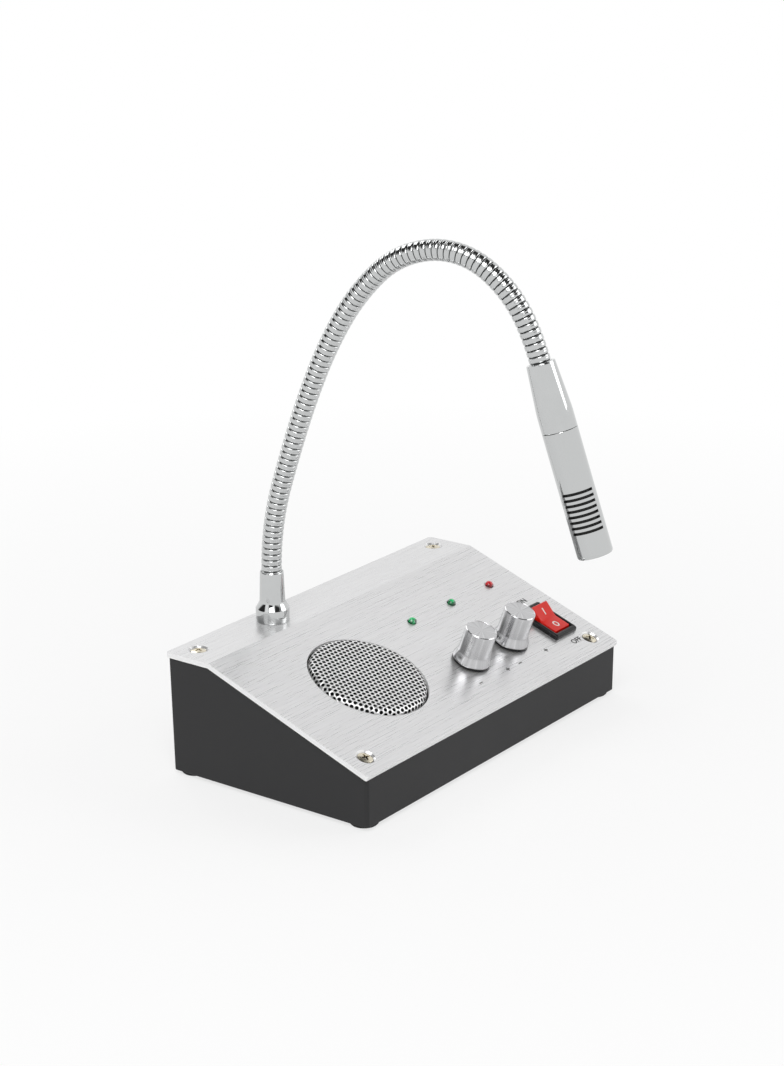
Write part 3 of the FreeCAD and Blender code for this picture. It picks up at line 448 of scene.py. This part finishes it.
def spun_metal(name, colour, roughness, place):
    """Turned metal: fine tool rings tilt the surface to and fro, over a painted reflection, streaks of tone
    that fan out round the axis.
    """
    finish = Finish(name)
    axes = Matrix(place[:3]).to_3x3()
    here = finish.node("ShaderNodeTexCoord", {}, (), "Object")
    origin = tuple(Vector(place[3]) * mm)
    off = finish.node("ShaderNodeVectorMath", {"operation": "SUBTRACT"}, (here, origin))
    dot = {"operation": "DOT_PRODUCT"}
    x, y, z = [finish.node("ShaderNodeVectorMath", dot, (off, tuple(axis)), "Value") / mm for axis in axes]
    radius = (x * x + y * y) ** 0.5
    tilt = 0.2 * ((radius + z) * 57.0).math("SINE")
    outward = finish.node("ShaderNodeVectorMath", {"operation": "NORMALIZE"}, (off,))
    plain = finish.node("ShaderNodeNewGeometry", {}, (), "Normal")
    leaned = finish.node("ShaderNodeVectorMath", {"operation": "SCALE"}, {"Vector": outward, "Scale": tilt})
    normal = finish.node("ShaderNodeVectorMath", {"operation": "ADD"}, (plain, leaned))
    around = y.math("ARCTAN2", x)
    # Painted reflection: lighter and darker streaks of tone round the axis, for the bands and fanned
    # highlights of turned metal.
    streak = finish.node("ShaderNodeTexNoise", {"noise_dimensions": "1D"},
                         {"W": around * 4.0, "Scale": 1.0, "Detail": 4.0})
    tone = finish.blend((streak - 0.3) * 2.5, tuple(0.74 * part for part in colour), colour)
    return finish.surface({"Base Color": tone, "Metallic": 1.0, "Roughness": roughness, "Normal": normal})


knob_profile = np.array([(0.0, 4.3), (6.0, 4.3), (6.0, 1.45), (7.6, 1.45), (7.76, 1.52), (7.8, 1.7),
                         (7.74, 2.0), (7.1, 3.4), (6.64, 4.55), (6.48, 5.0), (6.42, 5.5), (6.42, 14.75),
                         (6.36, 14.95), (6.1, 15.2), (5.95, 15.2), (5.85, 15.12), (0.0, 15.08)])
ring_profile = np.array([(6.1, 0.7), (7.68, 0.7), (7.75, 0.78), (7.75, 1.3), (7.66, 1.4), (6.1, 1.4),
                         (6.1, 0.7)])
knob_aluminium = (0.62, 0.62, 0.63)
plated_steel = brushed_metal("zinc plate", (0.62, 0.62, 0.60), 0.38)
gloss_black = moulded_plastic("black moulding", (0.008, 0.008, 0.009), 0.28, 0.004)
knob_joints = {joint["child"]: np.array(joint["pos_m"]) / mm - front_edge for joint in frame["joints"]}
for side in ("inside", "outside"):
    body = side + "_volume"
    knob_place = on_slope(knob_joints[body][0], knob_joints[body] @ up_slope)
    knob_points = set_at(turning(knob_profile, 128), knob_place)
    knob = add_piece(side + "_knob", skin(side + "_knob", knob_points, capped=False, crease=20.0), body)
    dress(knob, spun_metal("spun aluminium " + side, knob_aluminium, 0.14, knob_place))
    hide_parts(body + "_knob")
    ring_mesh = skin(side + "_knob_ring", set_at(turning(ring_profile, 96), knob_place), capped=False)
    dress(add_piece(side + "_knob_ring", ring_mesh, body), gloss_black)
    dress(nodes[body + "_shaft"], plated_steel)
    dress(nodes[body + "_pot"], plated_steel)
dress(nodes["pot_washers"], nickel)
dress(nodes["pot_nuts"], nickel)


# ---- Rocker switch ----
# A black bezel moulded in one with its case and snapped into the panel, and a red rocker that
# tilts in it, with its two positions marked in white ink.

switch_place = on_slope(67.0, 24.9)


def rounded_loop(half_x, half_y, radius, height, steps=6):
    """A level rectangle whose four corners are quarter circles."""
    quarter = np.linspace(0.0, np.pi / 2.0, steps)
    turn = (np.arange(4)[:, None] * np.pi / 2.0 + quarter).ravel()
    side_x = np.repeat([1.0, -1.0, -1.0, 1.0], steps)
    side_y = np.repeat([1.0, 1.0, -1.0, -1.0], steps)
    x = side_x * (half_x - radius) + radius * np.cos(turn)
    y = side_y * (half_y - radius) + radius * np.sin(turn)
    return np.stack([x, y, np.full_like(x, height)], axis=-1)


bezel_loops = [(6.5, 9.5, 0.4, -14.0), (6.5, 9.5, 0.4, 0.0), (7.5, 10.5, 0.9, 0.0), (7.5, 10.5, 0.9, 1.0),
               (7.42, 10.42, 0.9, 1.4), (7.2, 10.2, 0.9, 1.75), (6.9, 9.9, 0.9, 1.95), (6.6, 9.6, 0.8, 2.0),
               (6.0, 8.9, 0.5, 1.95), (5.6, 8.45, 0.35, 1.7), (5.5, 8.3, 0.3, 1.3), (5.5, 8.3, 0.3, -5.2)]
bezel_points = np.array([rounded_loop(*loop) for loop in bezel_loops])
bezel = add_piece("switch_case", skin("switch_case", set_at(bezel_points, switch_place)), "base")
dress(bezel, gloss_black)
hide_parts("switch_body")
brass = brushed_metal("tinned brass", (0.72, 0.60, 0.34), 0.35)
dress(nodes["switch_terminals"], brass)

pivot = np.array([0.0, 0.0, 0.2])
rest_tilt = np.radians(15.0)
hollow_height = 2.1
hollow_radius = 0.18
flank_slope = 0.2609
rocker_half = 6.9
rocker_end_height = 3.9


def tilted(points):
    """Turns points of the level rocker about its pivot, to the off position that it rests in."""
    x, y, z = np.moveaxis(points, -1, 0)
    turned_y = y * np.cos(rest_tilt) - z * np.sin(rest_tilt)
    turned_z = y * np.sin(rest_tilt) + z * np.cos(rest_tilt)
    return np.stack([x, turned_y, turned_z], axis=-1) + pivot


def dish(y):
    """The rocker's hollow top: straight flanks run into each other over a small radius."""
    return hollow_height - hollow_radius + np.sqrt((y * flank_slope) ** 2 + hollow_radius ** 2)


def rocker_outline():
    """Its side view: the hollow top, then arcs about the pivot down to a flat underside."""
    top_y = np.linspace(-rocker_half, rocker_half, 33)
    radius = np.hypot(rocker_half, rocker_end_height)
    sweep = np.linspace(np.arctan2(rocker_end_height, rocker_half), np.radians(-20.0), 12)[1:]
    rear = np.stack([radius * np.cos(sweep), radius * np.sin(sweep)], axis=-1)
    front = rear[::-1] * np.array([-1.0, 1.0])
    return np.concatenate([np.stack([top_y, dish(top_y)], axis=-1), rear, front])


outline = rocker_outline()
widths = np.array([-5.2, -5.16, -5.05, -4.85, 4.85, 5.05, 5.16, 5.2])
inset = np.array([0.35, 0.2, 0.07, 0.0, 0.0, 0.07, 0.2, 0.35])
middle = np.array([0.0, 0.6])
away = outline - middle
drawn_in = outline[None] - inset[:, None, None] * (away / np.linalg.norm(away, axis=-1, keepdims=True))[None]
across = np.broadcast_to(widths[:, None, None], (len(widths), len(outline), 1))
rocker_points = tilted(np.concatenate([across, drawn_in], axis=-1))
rocker = add_piece("red_rocker", skin("red_rocker", set_at(rocker_points, switch_place)), "power_rocker")
red_moulding = moulded_plastic("red moulding", (0.68, 0.010, 0.003), 0.3, 0.003)
dress(rocker, red_moulding)
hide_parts("switch_rocker")


def ink_ring(inner, outer, stretch, count=48):
    """A flat ring, longer than wide, with a closed underside."""
    turn = np.linspace(0.0, 2.0 * np.pi, count, endpoint=False)
    rim = np.array([(inner, 0.0), (outer, 0.0), (outer, 0.04), (inner, 0.04), (inner, 0.0)])
    radius = rim[:, :1]
    y = stretch * radius * np.sin(turn)
    return np.stack([radius * np.cos(turn), y, rim[:, 1:] + 0.0 * turn], axis=-1)


def on_rocker(points, centre):
    """Lays a mark on the hollow top, following its slope."""
    y = points[..., 1] + centre
    return np.stack([points[..., 0], y, dish(y) + points[..., 2] + 0.005], axis=-1)


ink_white = moulded_plastic("white ink", (0.82, 0.80, 0.76), 0.5, 0.002)
bar = np.array([rounded_loop(0.3, 1.5, 0.1, height) for height in (0.0, 0.04)])
for name, shape, centre in (("mark_on", bar, 3.6), ("mark_off", ink_ring(0.85, 1.4, 1.15), -3.6)):
    mark = skin(name, set_at(tilted(on_rocker(shape, centre)), switch_place), capped=(name == "mark_on"))
    dress(add_piece(name, mark, "power_rocker"), ink_white)


# ---- Indicator lamps ----
# Light-emitting diodes with tinted resin domes, two green ones over the knobs and a red one over
# the switch. Each stands in a hole of the panel, its leads soldered to the board.

def tinted_resin(name, place, deep, bright):
    """Tinted resin: bright over the glowing chip in the middle, deep towards the rim."""
    finish = Finish(name)
    here = finish.node("ShaderNodeTexCoord", {}, (), "Object")
    centre = tuple((np.array(place[3]) + 0.9 * np.array(place[2])) * mm)
    off = finish.node("ShaderNodeVectorMath", {"operation": "DISTANCE"}, (here, centre), "Value") / mm
    facets = finish.node("ShaderNodeTexVoronoi", {}, {"Vector": finish.place(), "Scale": 0.9}, "Color")
    shade = finish.apart(facets)[0]
    glow = finish.node("ShaderNodeValToRGB", {"stops": [(0.0, bright), (0.35, bright), (0.9, deep)]},
                       (off / 2.1 + 0.5 * shade - 0.2,))
    return finish.surface({"Base Color": glow, "Emission Color": glow, "Emission Strength": 0.12,
                           "Roughness": 0.06, "Coat Weight": 0.5})


lamp_row = 55.2
lamp_angle = np.linspace(np.pi / 2.0, 0.0, 12)
lamp_dome = np.stack([1.6 * np.cos(lamp_angle), 0.55 + 1.15 * np.sin(lamp_angle)], axis=-1)
lamp_profile = np.concatenate([lamp_dome, [(1.6, -2.05), (2.3, -2.05), (2.3, -2.85), (0.0, -2.85)]])
green = ((0.0, 0.06, 0.02), (0.03, 0.62, 0.20))
red = ((0.10, 0.0, 0.002), (0.80, 0.02, 0.03))
for name, column, tint, slot in (("inside_level_lamp", 13.3, green, "green_lens"),
                                 ("outside_level_lamp", 40.0, green, "green_lens"),
                                 ("power_lamp", 66.9, red, "red_lens")):
    lamp_place = on_slope(column, lamp_row)
    lamp_points = set_at(turning(lamp_profile, 40), lamp_place)
    lamp = add_piece(name + "_dome", skin(name + "_dome", lamp_points, capped=False), "base")
    dress(lamp, tinted_resin("resin of " + name, lamp_place, *tint))
    dress(nodes[name], lamp.data.materials[0])


# ---- Control board ----
# A green laminate board clamped by the potentiometers, with an amplifier in an upright case, three
# capacitors and four lead connectors on its underside.

laminate = moulded_plastic("solder resist", (0.01, 0.12, 0.035), 0.35, 0.01)
dark_case = moulded_plastic("dark case", (0.015, 0.015, 0.017), 0.5, 0.01)
pale_case = moulded_plastic("pale connector", (0.70, 0.67, 0.58), 0.5, 0.01)
dress(nodes["control_board"], laminate)
dress(nodes["amplifier_chip"], dark_case)
dress(nodes["board_capacitors"], dark_case)
dress(nodes["board_connectors"], pale_case)


# ---- Rear sockets ----
# A low-voltage inlet and a socket for the customer's unit, each a black moulding held by a nut
# inside the rear wall.

dress(nodes["power_socket"], gloss_black)
dress(nodes["audio_socket"], gloss_black)
dress(nodes["socket_nuts"], nickel)


# ---- Gooseneck ferrule ----
# Turned brass with bright chromium plate: a drum foot, a short flare and a slim taper that the hose
# is pressed into. Its stud passes the panel and is held by a washer and a nut.

def chromium(name, roughness=0.045):
    """Bright plate: nearly even, with a faint cloud in its gloss where it has been handled."""
    finish = Finish(name)
    cloud = finish.noise(finish.place(), 0.25, 3.0)
    tone = finish.blend(cloud, (0.53, 0.54, 0.54), (0.58, 0.59, 0.59))
    return finish.surface({"Base Color": tone, "Metallic": 1.0, "Roughness": roughness + 0.05 * cloud})


hose_joints = [joint for joint in frame["joints"] if joint["name"].startswith("hose_")]
bend_axis = np.array(hose_joints[0]["axis"], float)
forward = np.array([bend_axis[1], -bend_axis[0], 0.0])
upright = np.array([0.0, 0.0, 1.0])
ferrule_low, ferrule_high = (np.array(corner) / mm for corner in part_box("neck_ferrule"))
foot_x, foot_y = (ferrule_low[:2] + ferrule_high[:2]) / 2.0
neck_place = forward, bend_axis, upright, np.array([foot_x, foot_y, panel_high[2]])

ferrule_top = ferrule_high[2] - panel_high[2]
ferrule_profile = np.array([(0.0, -7.0), (3.9, -7.0), (3.9, 0.0), (6.35, 0.0), (6.55, 0.08), (6.6, 0.3),
                            (6.6, 5.05), (6.55, 5.2), (6.42, 5.36), (5.2, 7.6), (5.06, 7.95), (5.0, 8.5),
                            (4.64, ferrule_top - 0.6), (4.6, ferrule_top - 0.2), (4.45, ferrule_top),
                            (4.2, ferrule_top), (4.05, ferrule_top - 0.2), (4.05, 10.0), (0.0, 10.0)])
bright_plate = chromium("bright chromium")
ferrule_points = set_at(turning(ferrule_profile, 96), neck_place)
ferrule = add_piece("ferrule", skin("ferrule", ferrule_points, capped=False), "base")
dress(ferrule, bright_plate)
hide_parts("neck_ferrule")
dress(nodes["neck_washer"], nickel)
dress(nodes["neck_nut"], nickel)


# ---- Gooseneck hose ----
# A steel strip rolled into an interlocked spiral and plated, which stays as it is bent. Each length of
# beads is laid along the bent middle line, round the joint in its middle.

def flat_place(point):
    """A point of the bend plane as (ahead, up), measured from the top of the ferrule."""
    off = np.array(point) / mm - neck_place[3] - np.array([0.0, 0.0, ferrule_top])
    return np.array([off @ forward, off @ upright])


knots = [np.zeros(2)] + [flat_place(joint["pos_m"]) for joint in hose_joints]
headings = [0.0]
for low, high in zip(knots, knots[1:]):
    chord = np.arctan2(high[0] - low[0], high[1] - low[1])
    headings.append(2.0 * chord - headings[-1])
tail_bend = np.radians(8.0)
tail_length = 14.7
headings.append(headings[-1] + tail_bend)
chords = [np.linalg.norm(high - low) for low, high in zip(knots, knots[1:])]
half_bends = np.diff(headings)[:-1] / 2.0
arcs = [chord * half / np.sin(half) for chord, half in zip(chords, half_bends)] + [tail_length]
stations = np.concatenate([[0.0], np.cumsum(arcs)])


def along_hose(distance):
    """Point and heading of the middle line: an arc between each two joints, straight beyond its ends."""
    distance = np.asarray(distance, float)
    piece = np.clip(np.searchsorted(stations, distance, side="right") - 1, 0, len(arcs) - 1)
    start = np.array(headings)[piece]
    rate = (np.diff(headings) / np.array(arcs))[piece]
    inside = np.clip(distance, 0.0, stations[-1]) - stations[piece]
    heading = start + rate * inside
    origin = np.array(knots)[piece]
    ahead = origin[:, 0] + (np.cos(start) - np.cos(heading)) / rate
    up = origin[:, 1] + (np.sin(heading) - np.sin(start)) / rate
    beyond = distance - np.clip(distance, 0.0, stations[-1])
    return np.stack([ahead + beyond * np.sin(heading), up + beyond * np.cos(heading)], axis=-1), heading


def hose_tube(distance, radius, count):
    """Rings of the given radius round the middle line, square to it."""
    point, heading = along_hose(distance)
    turn = np.linspace(0.0, 2.0 * np.pi, count, endpoint=False)
    across = radius[:, None] * np.cos(turn)
    aside = radius[:, None] * np.sin(turn)
    ahead = point[:, :1] + across * np.cos(heading)[:, None]
    up = point[:, 1:] - across * np.sin(heading)[:, None]
    return np.stack([ahead, aside, up + ferrule_top], axis=-1)


beads_to_link = 10
bead = arcs[1] / beads_to_link
bead_shape = np.array([(0.0, 3.45), (0.07, 3.6), (0.11, 3.88), (0.2, 3.98), (0.38, 4.0), (0.44, 3.93),
                       (0.5, 3.98), (0.68, 3.97), (0.84, 3.9), (0.91, 3.8), (0.94, 3.6)])
around_hose = 40
blend_reach = 8.0
interlock = chromium("plated strip", 0.1)
groove_black = moulded_plastic("groove shadow", (0.01, 0.01, 0.01), 0.6, 0.004)
for number, joint in enumerate(hose_joints, 1):
    first = stations[number] - (5 if number > 1 else 6) * bead
    last = stations[number] + (5 if number < len(hose_joints) else 7) * bead
    beads = round((last - first) / bead)
    distance = (first + bead * (np.arange(beads)[:, None] + bead_shape[:, 0])).ravel()
    radius = np.tile(bead_shape[:, 1], beads)
    distance = np.append(distance, last)
    radius = np.append(radius, bead_shape[0, 1])
    name = "hose_length_" + str(number)
    tube = set_at(hose_tube(distance, radius, around_hose), neck_place)
    length = add_piece(name, skin(name, tube, crease=60.0), None)
    dress(length, interlock)
    length.data.materials.append(groove_black)
    rows = np.arange(len(distance) - 1).repeat(around_hose) % len(bead_shape)
    in_groove = np.isin(rows, (0, len(bead_shape) - 1))
    for face, dark in zip(length.data.polygons, in_groove):
        face.material_index = int(dark)
    bend_ends = stations[number] + np.array([-blend_reach, blend_reach])
    near, far = set_at(hose_tube(bend_ends, np.zeros(2), 1)[:, 0], neck_place)
    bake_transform(length)
    if number > 1:
        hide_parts("hose_link_" + str(number - 1))
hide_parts("hose_tip", "hose_link_8")
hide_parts("hose_root")


# ---- Microphone ----
# A turned neck that tapers out from the hose, and a barrel screwed to it, both plated. A row of
# cross slots lets sound in to the capsule, which a rubber ring holds behind them.

mouth, mouth_heading = along_hose([stations[-1]])
mic_way = forward * np.sin(mouth_heading[0]) + upright * np.cos(mouth_heading[0])
mic_across = forward * np.cos(mouth_heading[0]) - upright * np.sin(mouth_heading[0])
mic_origin = neck_place[3] + forward * mouth[0, 0] + upright * (mouth[0, 1] + ferrule_top)
mic_place = mic_across, bend_axis, mic_way, mic_origin

mic_radius = 6.65
seam = 25.1
mic_end = 72.7
slots_start = 47.5
slot_pitch = 2.08
slot_count = 8
slot_depth = 1.0
slot_half_arc = np.radians(56.0)
slot_middle = np.radians(-113.0)
neck_profile = np.array([(0.0, 8.0), (4.1, 8.0), (4.1, 0.1), (4.3, 0.0), (5.0, 0.0), (5.25, 0.1),
                         (5.35, 0.35), (5.4, 1.0), (6.56, 17.0), (6.63, 18.5), (mic_radius, 20.0),
                         (mic_radius, seam - 0.4), (mic_radius, seam - 0.1), (6.6, seam - 0.02),
                         (6.45, seam), (5.6, seam), (5.6, seam + 4.0), (0.0, seam + 4.0)])
neck_mesh = skin("mic_neck_turning", set_at(turning(neck_profile, 96), mic_place), capped=False)
mic_neck = add_piece("mic_neck_turning", neck_mesh, "microphone")
dress(mic_neck, bright_plate)
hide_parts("mic_neck")


def slotted_barrel():
    """Rings along the barrel, sunk to the slots' floor where a slot runs within its arc of the turn."""
    ends = np.array([(0.0, seam), (5.6, seam), (6.3, seam + 0.12), (6.6, seam + 0.14),
                     (mic_radius, seam + 0.22)])
    cap = np.array([(mic_radius, mic_end - 1.1), (6.55, mic_end - 0.6), (6.2, mic_end - 0.15), (5.7, mic_end),
                    (3.5, mic_end), (0.0, mic_end)])
    slot_low = slots_start + slot_pitch * np.arange(slot_count)
    edges = (slot_low[:, None] + np.array([-0.02, 0.06, 0.94, 1.02])).ravel()
    floor_rows = (slot_low[:, None] + np.array([0.06, 0.94])).ravel()
    heights = np.concatenate([np.linspace(seam + 2.0, slots_start - 1.0, 12), edges,
                              np.linspace(slots_start + 8.3 * slot_pitch, mic_end - 2.0, 4)])
    sunk_row = np.isin(np.round(heights, 4), np.round(floor_rows, 4))
    fan = np.linspace(-slot_half_arc, slot_half_arc, 25)
    rest = np.linspace(slot_half_arc, 2.0 * np.pi - slot_half_arc, 61)[1:-1]
    offset = np.concatenate([fan[:1] - 0.012, fan, fan[-1:] + 0.012, rest])
    in_slot = np.abs(offset) <= slot_half_arc + 1e-6
    turn = offset + slot_middle

    def ringed(radius, height):
        return np.stack([radius * np.cos(turn), radius * np.sin(turn), height + 0.0 * turn], axis=-1)

    radius = np.where(sunk_row[:, None] & in_slot, mic_radius - slot_depth, mic_radius)
    return np.concatenate([ringed(ends[:, :1], ends[:, 1:]), ringed(radius, heights[:, None]),
                           ringed(cap[:, :1], cap[:, 1:])])


def slotted_plate(name, place):
    """Bright plate with painted shade: dull black in the slots, below the barrel's outer skin."""
    finish = Finish(name)
    here = finish.node("ShaderNodeTexCoord", {}, (), "Object")
    origin = tuple(np.array(place[3]) * mm)
    off = finish.node("ShaderNodeVectorMath", {"operation": "SUBTRACT"}, (here, origin))
    dot = {"operation": "DOT_PRODUCT"}
    height = finish.node("ShaderNodeVectorMath", dot, (off, tuple(place[2])), "Value") / mm
    reach = finish.node("ShaderNodeVectorMath", {"operation": "LENGTH"}, (off,), "Value") / mm
    radius = (reach * reach - height * height).math("MAXIMUM", 0.0) ** 0.5
    # Painted shade: flat black on the slots' floors, where they lie in shadow below the skin.
    painted_slot_shade = (mic_radius - 0.35 - radius > 0.0) * (height > seam + 5.0) * (mic_end - 3.0 - height > 0.0)
    cloud = finish.noise(finish.place(), 0.25, 3.0)
    tone = finish.blend(painted_slot_shade, (0.55, 0.56, 0.56), (0.01, 0.01, 0.01))
    return finish.surface({"Base Color": tone, "Metallic": 1.0 - painted_slot_shade,
                           "Roughness": 0.045 + 0.05 * cloud + 0.6 * painted_slot_shade})


barrel_mesh = skin("mic_barrel_turning", set_at(slotted_barrel(), mic_place), capped=False, crease=30.0)
mic_barrel = add_piece("mic_barrel_turning", barrel_mesh, "microphone")
dress(mic_barrel, slotted_plate("slotted chromium", mic_place))
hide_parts("mic_barrel")
dress(nodes["capsule_holder"], soft_black)
dress(nodes["mic_capsule"], plated_steel)


# ---- Printed marks ----
# Black screen print on the panel: the switch's two positions, and a minus and a plus at the two
# ends of each knob's travel.

def printed(name, word, size, x, climb):
    """A word laid on the slope, its middle at the given place, as a film of ink."""
    curve = bpy.data.curves.new(name, "FONT")
    curve.body = word
    curve.size = size
    curve.align_x = "CENTER"
    curve.align_y = "CENTER"
    curve.extrude = 0.012
    curve.offset = 0.07
    flat = bpy.data.objects.new(name + "_curve", curve)
    bpy.context.scene.collection.objects.link(flat)
    bpy.context.view_layer.update()
    mesh = bpy.data.meshes.new_from_object(flat.evaluated_get(bpy.context.evaluated_depsgraph_get()))
    bpy.data.objects.remove(flat)
    points = np.zeros(len(mesh.vertices) * 3)
    mesh.vertices.foreach_get("co", points)
    points = points.reshape(-1, 3) + np.array([0.0, 0.0, 0.012])
    mesh.vertices.foreach_set("co", set_at(points, on_slope(x, climb)).ravel())
    mesh.update()
    return dress(add_piece(name, mesh, "base"), ink_black)


ink_black = moulded_plastic("black ink", (0.008, 0.008, 0.008), 0.6, 0.002)
printed("print_on", "ON", 3.6, 70.0, 39.9)
printed("print_off", "OFF", 3.6, 68.1, 10.0)
printed("print_inside_less", "−", 4.2, 4.7, 13.2)
printed("print_inside_more", "+", 4.2, 22.9, 13.0)
printed("print_outside_less", "−", 4.2, 31.4, 12.9)
printed("print_outside_more", "+", 4.2, 49.5, 12.6)


# ---- Room ----
# A pale floor, soft lamps and a camera in a studio whose floor and walls look white to the camera,
# in metal and through clear pieces, under a dark ceiling with two strip lights.

def background_rays(finish):
    """One for the rays that show a background: from the camera, off gloss or through clear pieces."""
    paths = finish.node("ShaderNodeLightPath", {}, ()).socket.node.outputs
    seen = Signal(finish, paths["Is Camera Ray"])
    for kind in ("Is Glossy Ray", "Is Transmission Ray"):
        seen = seen.math("MAXIMUM", Signal(finish, paths[kind]))
    return seen


floor_size = 6.0
floor_height = -0.0016
bpy.ops.mesh.primitive_plane_add(size=2.0 * floor_size, location=(0.0, 0.0, floor_height))
floor = bpy.context.object
floor.name = "floor"
pale = Finish("pale floor")
pale.surface({"Base Color": (0.86, 0.86, 0.86), "Roughness": 0.9, "Specular IOR Level": 0.1})
away = pale.node("ShaderNodeVectorMath", {"operation": "LENGTH"},
                 (pale.node("ShaderNodeTexCoord", {}, (), "Object"),), "Value")
near_white = pale.node("ShaderNodeMapRange", {"clamp": True},
                       {"Value": away, "From Min": 0.12, "From Max": 0.5, "To Min": 0.72, "To Max": 1.0})
white = pale.node("ShaderNodeEmission", {}, {"Color": (1.0, 1.0, 1.0), "Strength": 1.0})
pale_mix = pale.node("ShaderNodeMixShader", {}, {0: background_rays(pale) * near_white})
pale.tree.links.new(pale.shader.outputs[0], pale_mix.socket.node.inputs[1])
pale.tree.links.new(white.socket, pale_mix.socket.node.inputs[2])
floor_output = next(n for n in pale.tree.nodes if n.bl_idname == "ShaderNodeOutputMaterial")
pale.tree.links.new(pale_mix.socket, floor_output.inputs[0])
floor.data.materials.append(pale.material)

world = bpy.data.worlds.new("studio")
bpy.context.scene.world = world
studio = Finish(world, "ShaderNodeBackground")
way_x, way_y, way_z = studio.apart(studio.node("ShaderNodeTexCoord", {}, (), "Generated"))
wall_levels = [(0, 1.0), (50, 1.0), (70, 0.6), (180, 0.55), (205, 0.65), (262, 0.6), (268, 0.03),
               (332, 0.03), (342, 1.0)]
ceiling_heights = [(0, 0.74), (50, 0.74), (75, 0.25), (190, 0.25), (212, 0.42), (300, 0.45), (335, 0.74)]
ceiling_levels = [(0, 0.04), (154, 0.03), (160, 1.2), (184, 1.2), (190, 0.03), (218, 0.03), (223, 1.2),
                  (236, 1.2), (242, 0.04)]


def by_bearing(stops):
    """A grey that depends on a ray's bearing, with stops in degrees from +X towards +Y."""
    bearing = (way_y.math("ARCTAN2", way_x) / (2.0 * np.pi)).math("FRACT")
    levels = [(angle / 360.0, (level,) * 3) for angle, level in stops]
    return studio.node("ShaderNodeValToRGB", {"stops": levels}, (bearing,))


walls = studio.blend(background_rays(studio), by_bearing(wall_levels), (1.0, 1.0, 1.0))
over_edge = (way_z - by_bearing(ceiling_heights)) * 10.0
surroundings = studio.blend(over_edge, walls, by_bearing(ceiling_levels))
studio.feed(studio.shader.inputs["Color"], surroundings)
studio.feed(studio.shader.inputs["Strength"], 1.0)

lit_point = Vector((0.0, 0.0, 0.05))
for name, spot, size, power in (("key_lamp", (-0.9, -0.5, 1.3), 0.8, 14.0),
                                ("fill_lamp", (0.9, -1.1, 0.9), 0.9, 6.0),
                                ("rim_lamp", (0.3, 1.2, 1.2), 0.9, 6.0)):
    lamp_data = bpy.data.lights.new(name, "AREA")
    lamp_data.energy = power
    lamp_data.size = size
    lamp_object = bpy.data.objects.new(name, lamp_data)
    lamp_object.location = spot
    lamp_object.rotation_euler = (lit_point - Vector(spot)).to_track_quat("-Z", "Y").to_euler()
    bpy.context.scene.collection.objects.link(lamp_object)

camera_spot = Vector((-0.73847, -0.54823, 0.38278))
look = Vector((0.76122, 0.56882, -0.31142)).normalized()
level_right = look.cross(Vector((0.0, 0.0, 1.0))).normalized()
roll = Matrix.Rotation(np.radians(-0.48), 3, -look)
camera_right = roll @ level_right
camera_up = camera_right.cross(look)
camera_data = bpy.data.cameras.new("camera")
camera_data.sensor_fit = "VERTICAL"
camera_data.sensor_height = 36.0
camera_data.lens = 84.4
camera_data.shift_x = -0.00106
camera_data.clip_end = 30.0
camera = bpy.data.objects.new("camera", camera_data)
turned = Matrix((camera_right, camera_up, -look)).transposed().to_4x4()
camera.matrix_world = Matrix.Translation(camera_spot) @ turned
bpy.context.scene.collection.objects.link(camera)
bpy.context.scene.camera = camera
bpy.context.scene.view_settings.view_transform = "Standard"
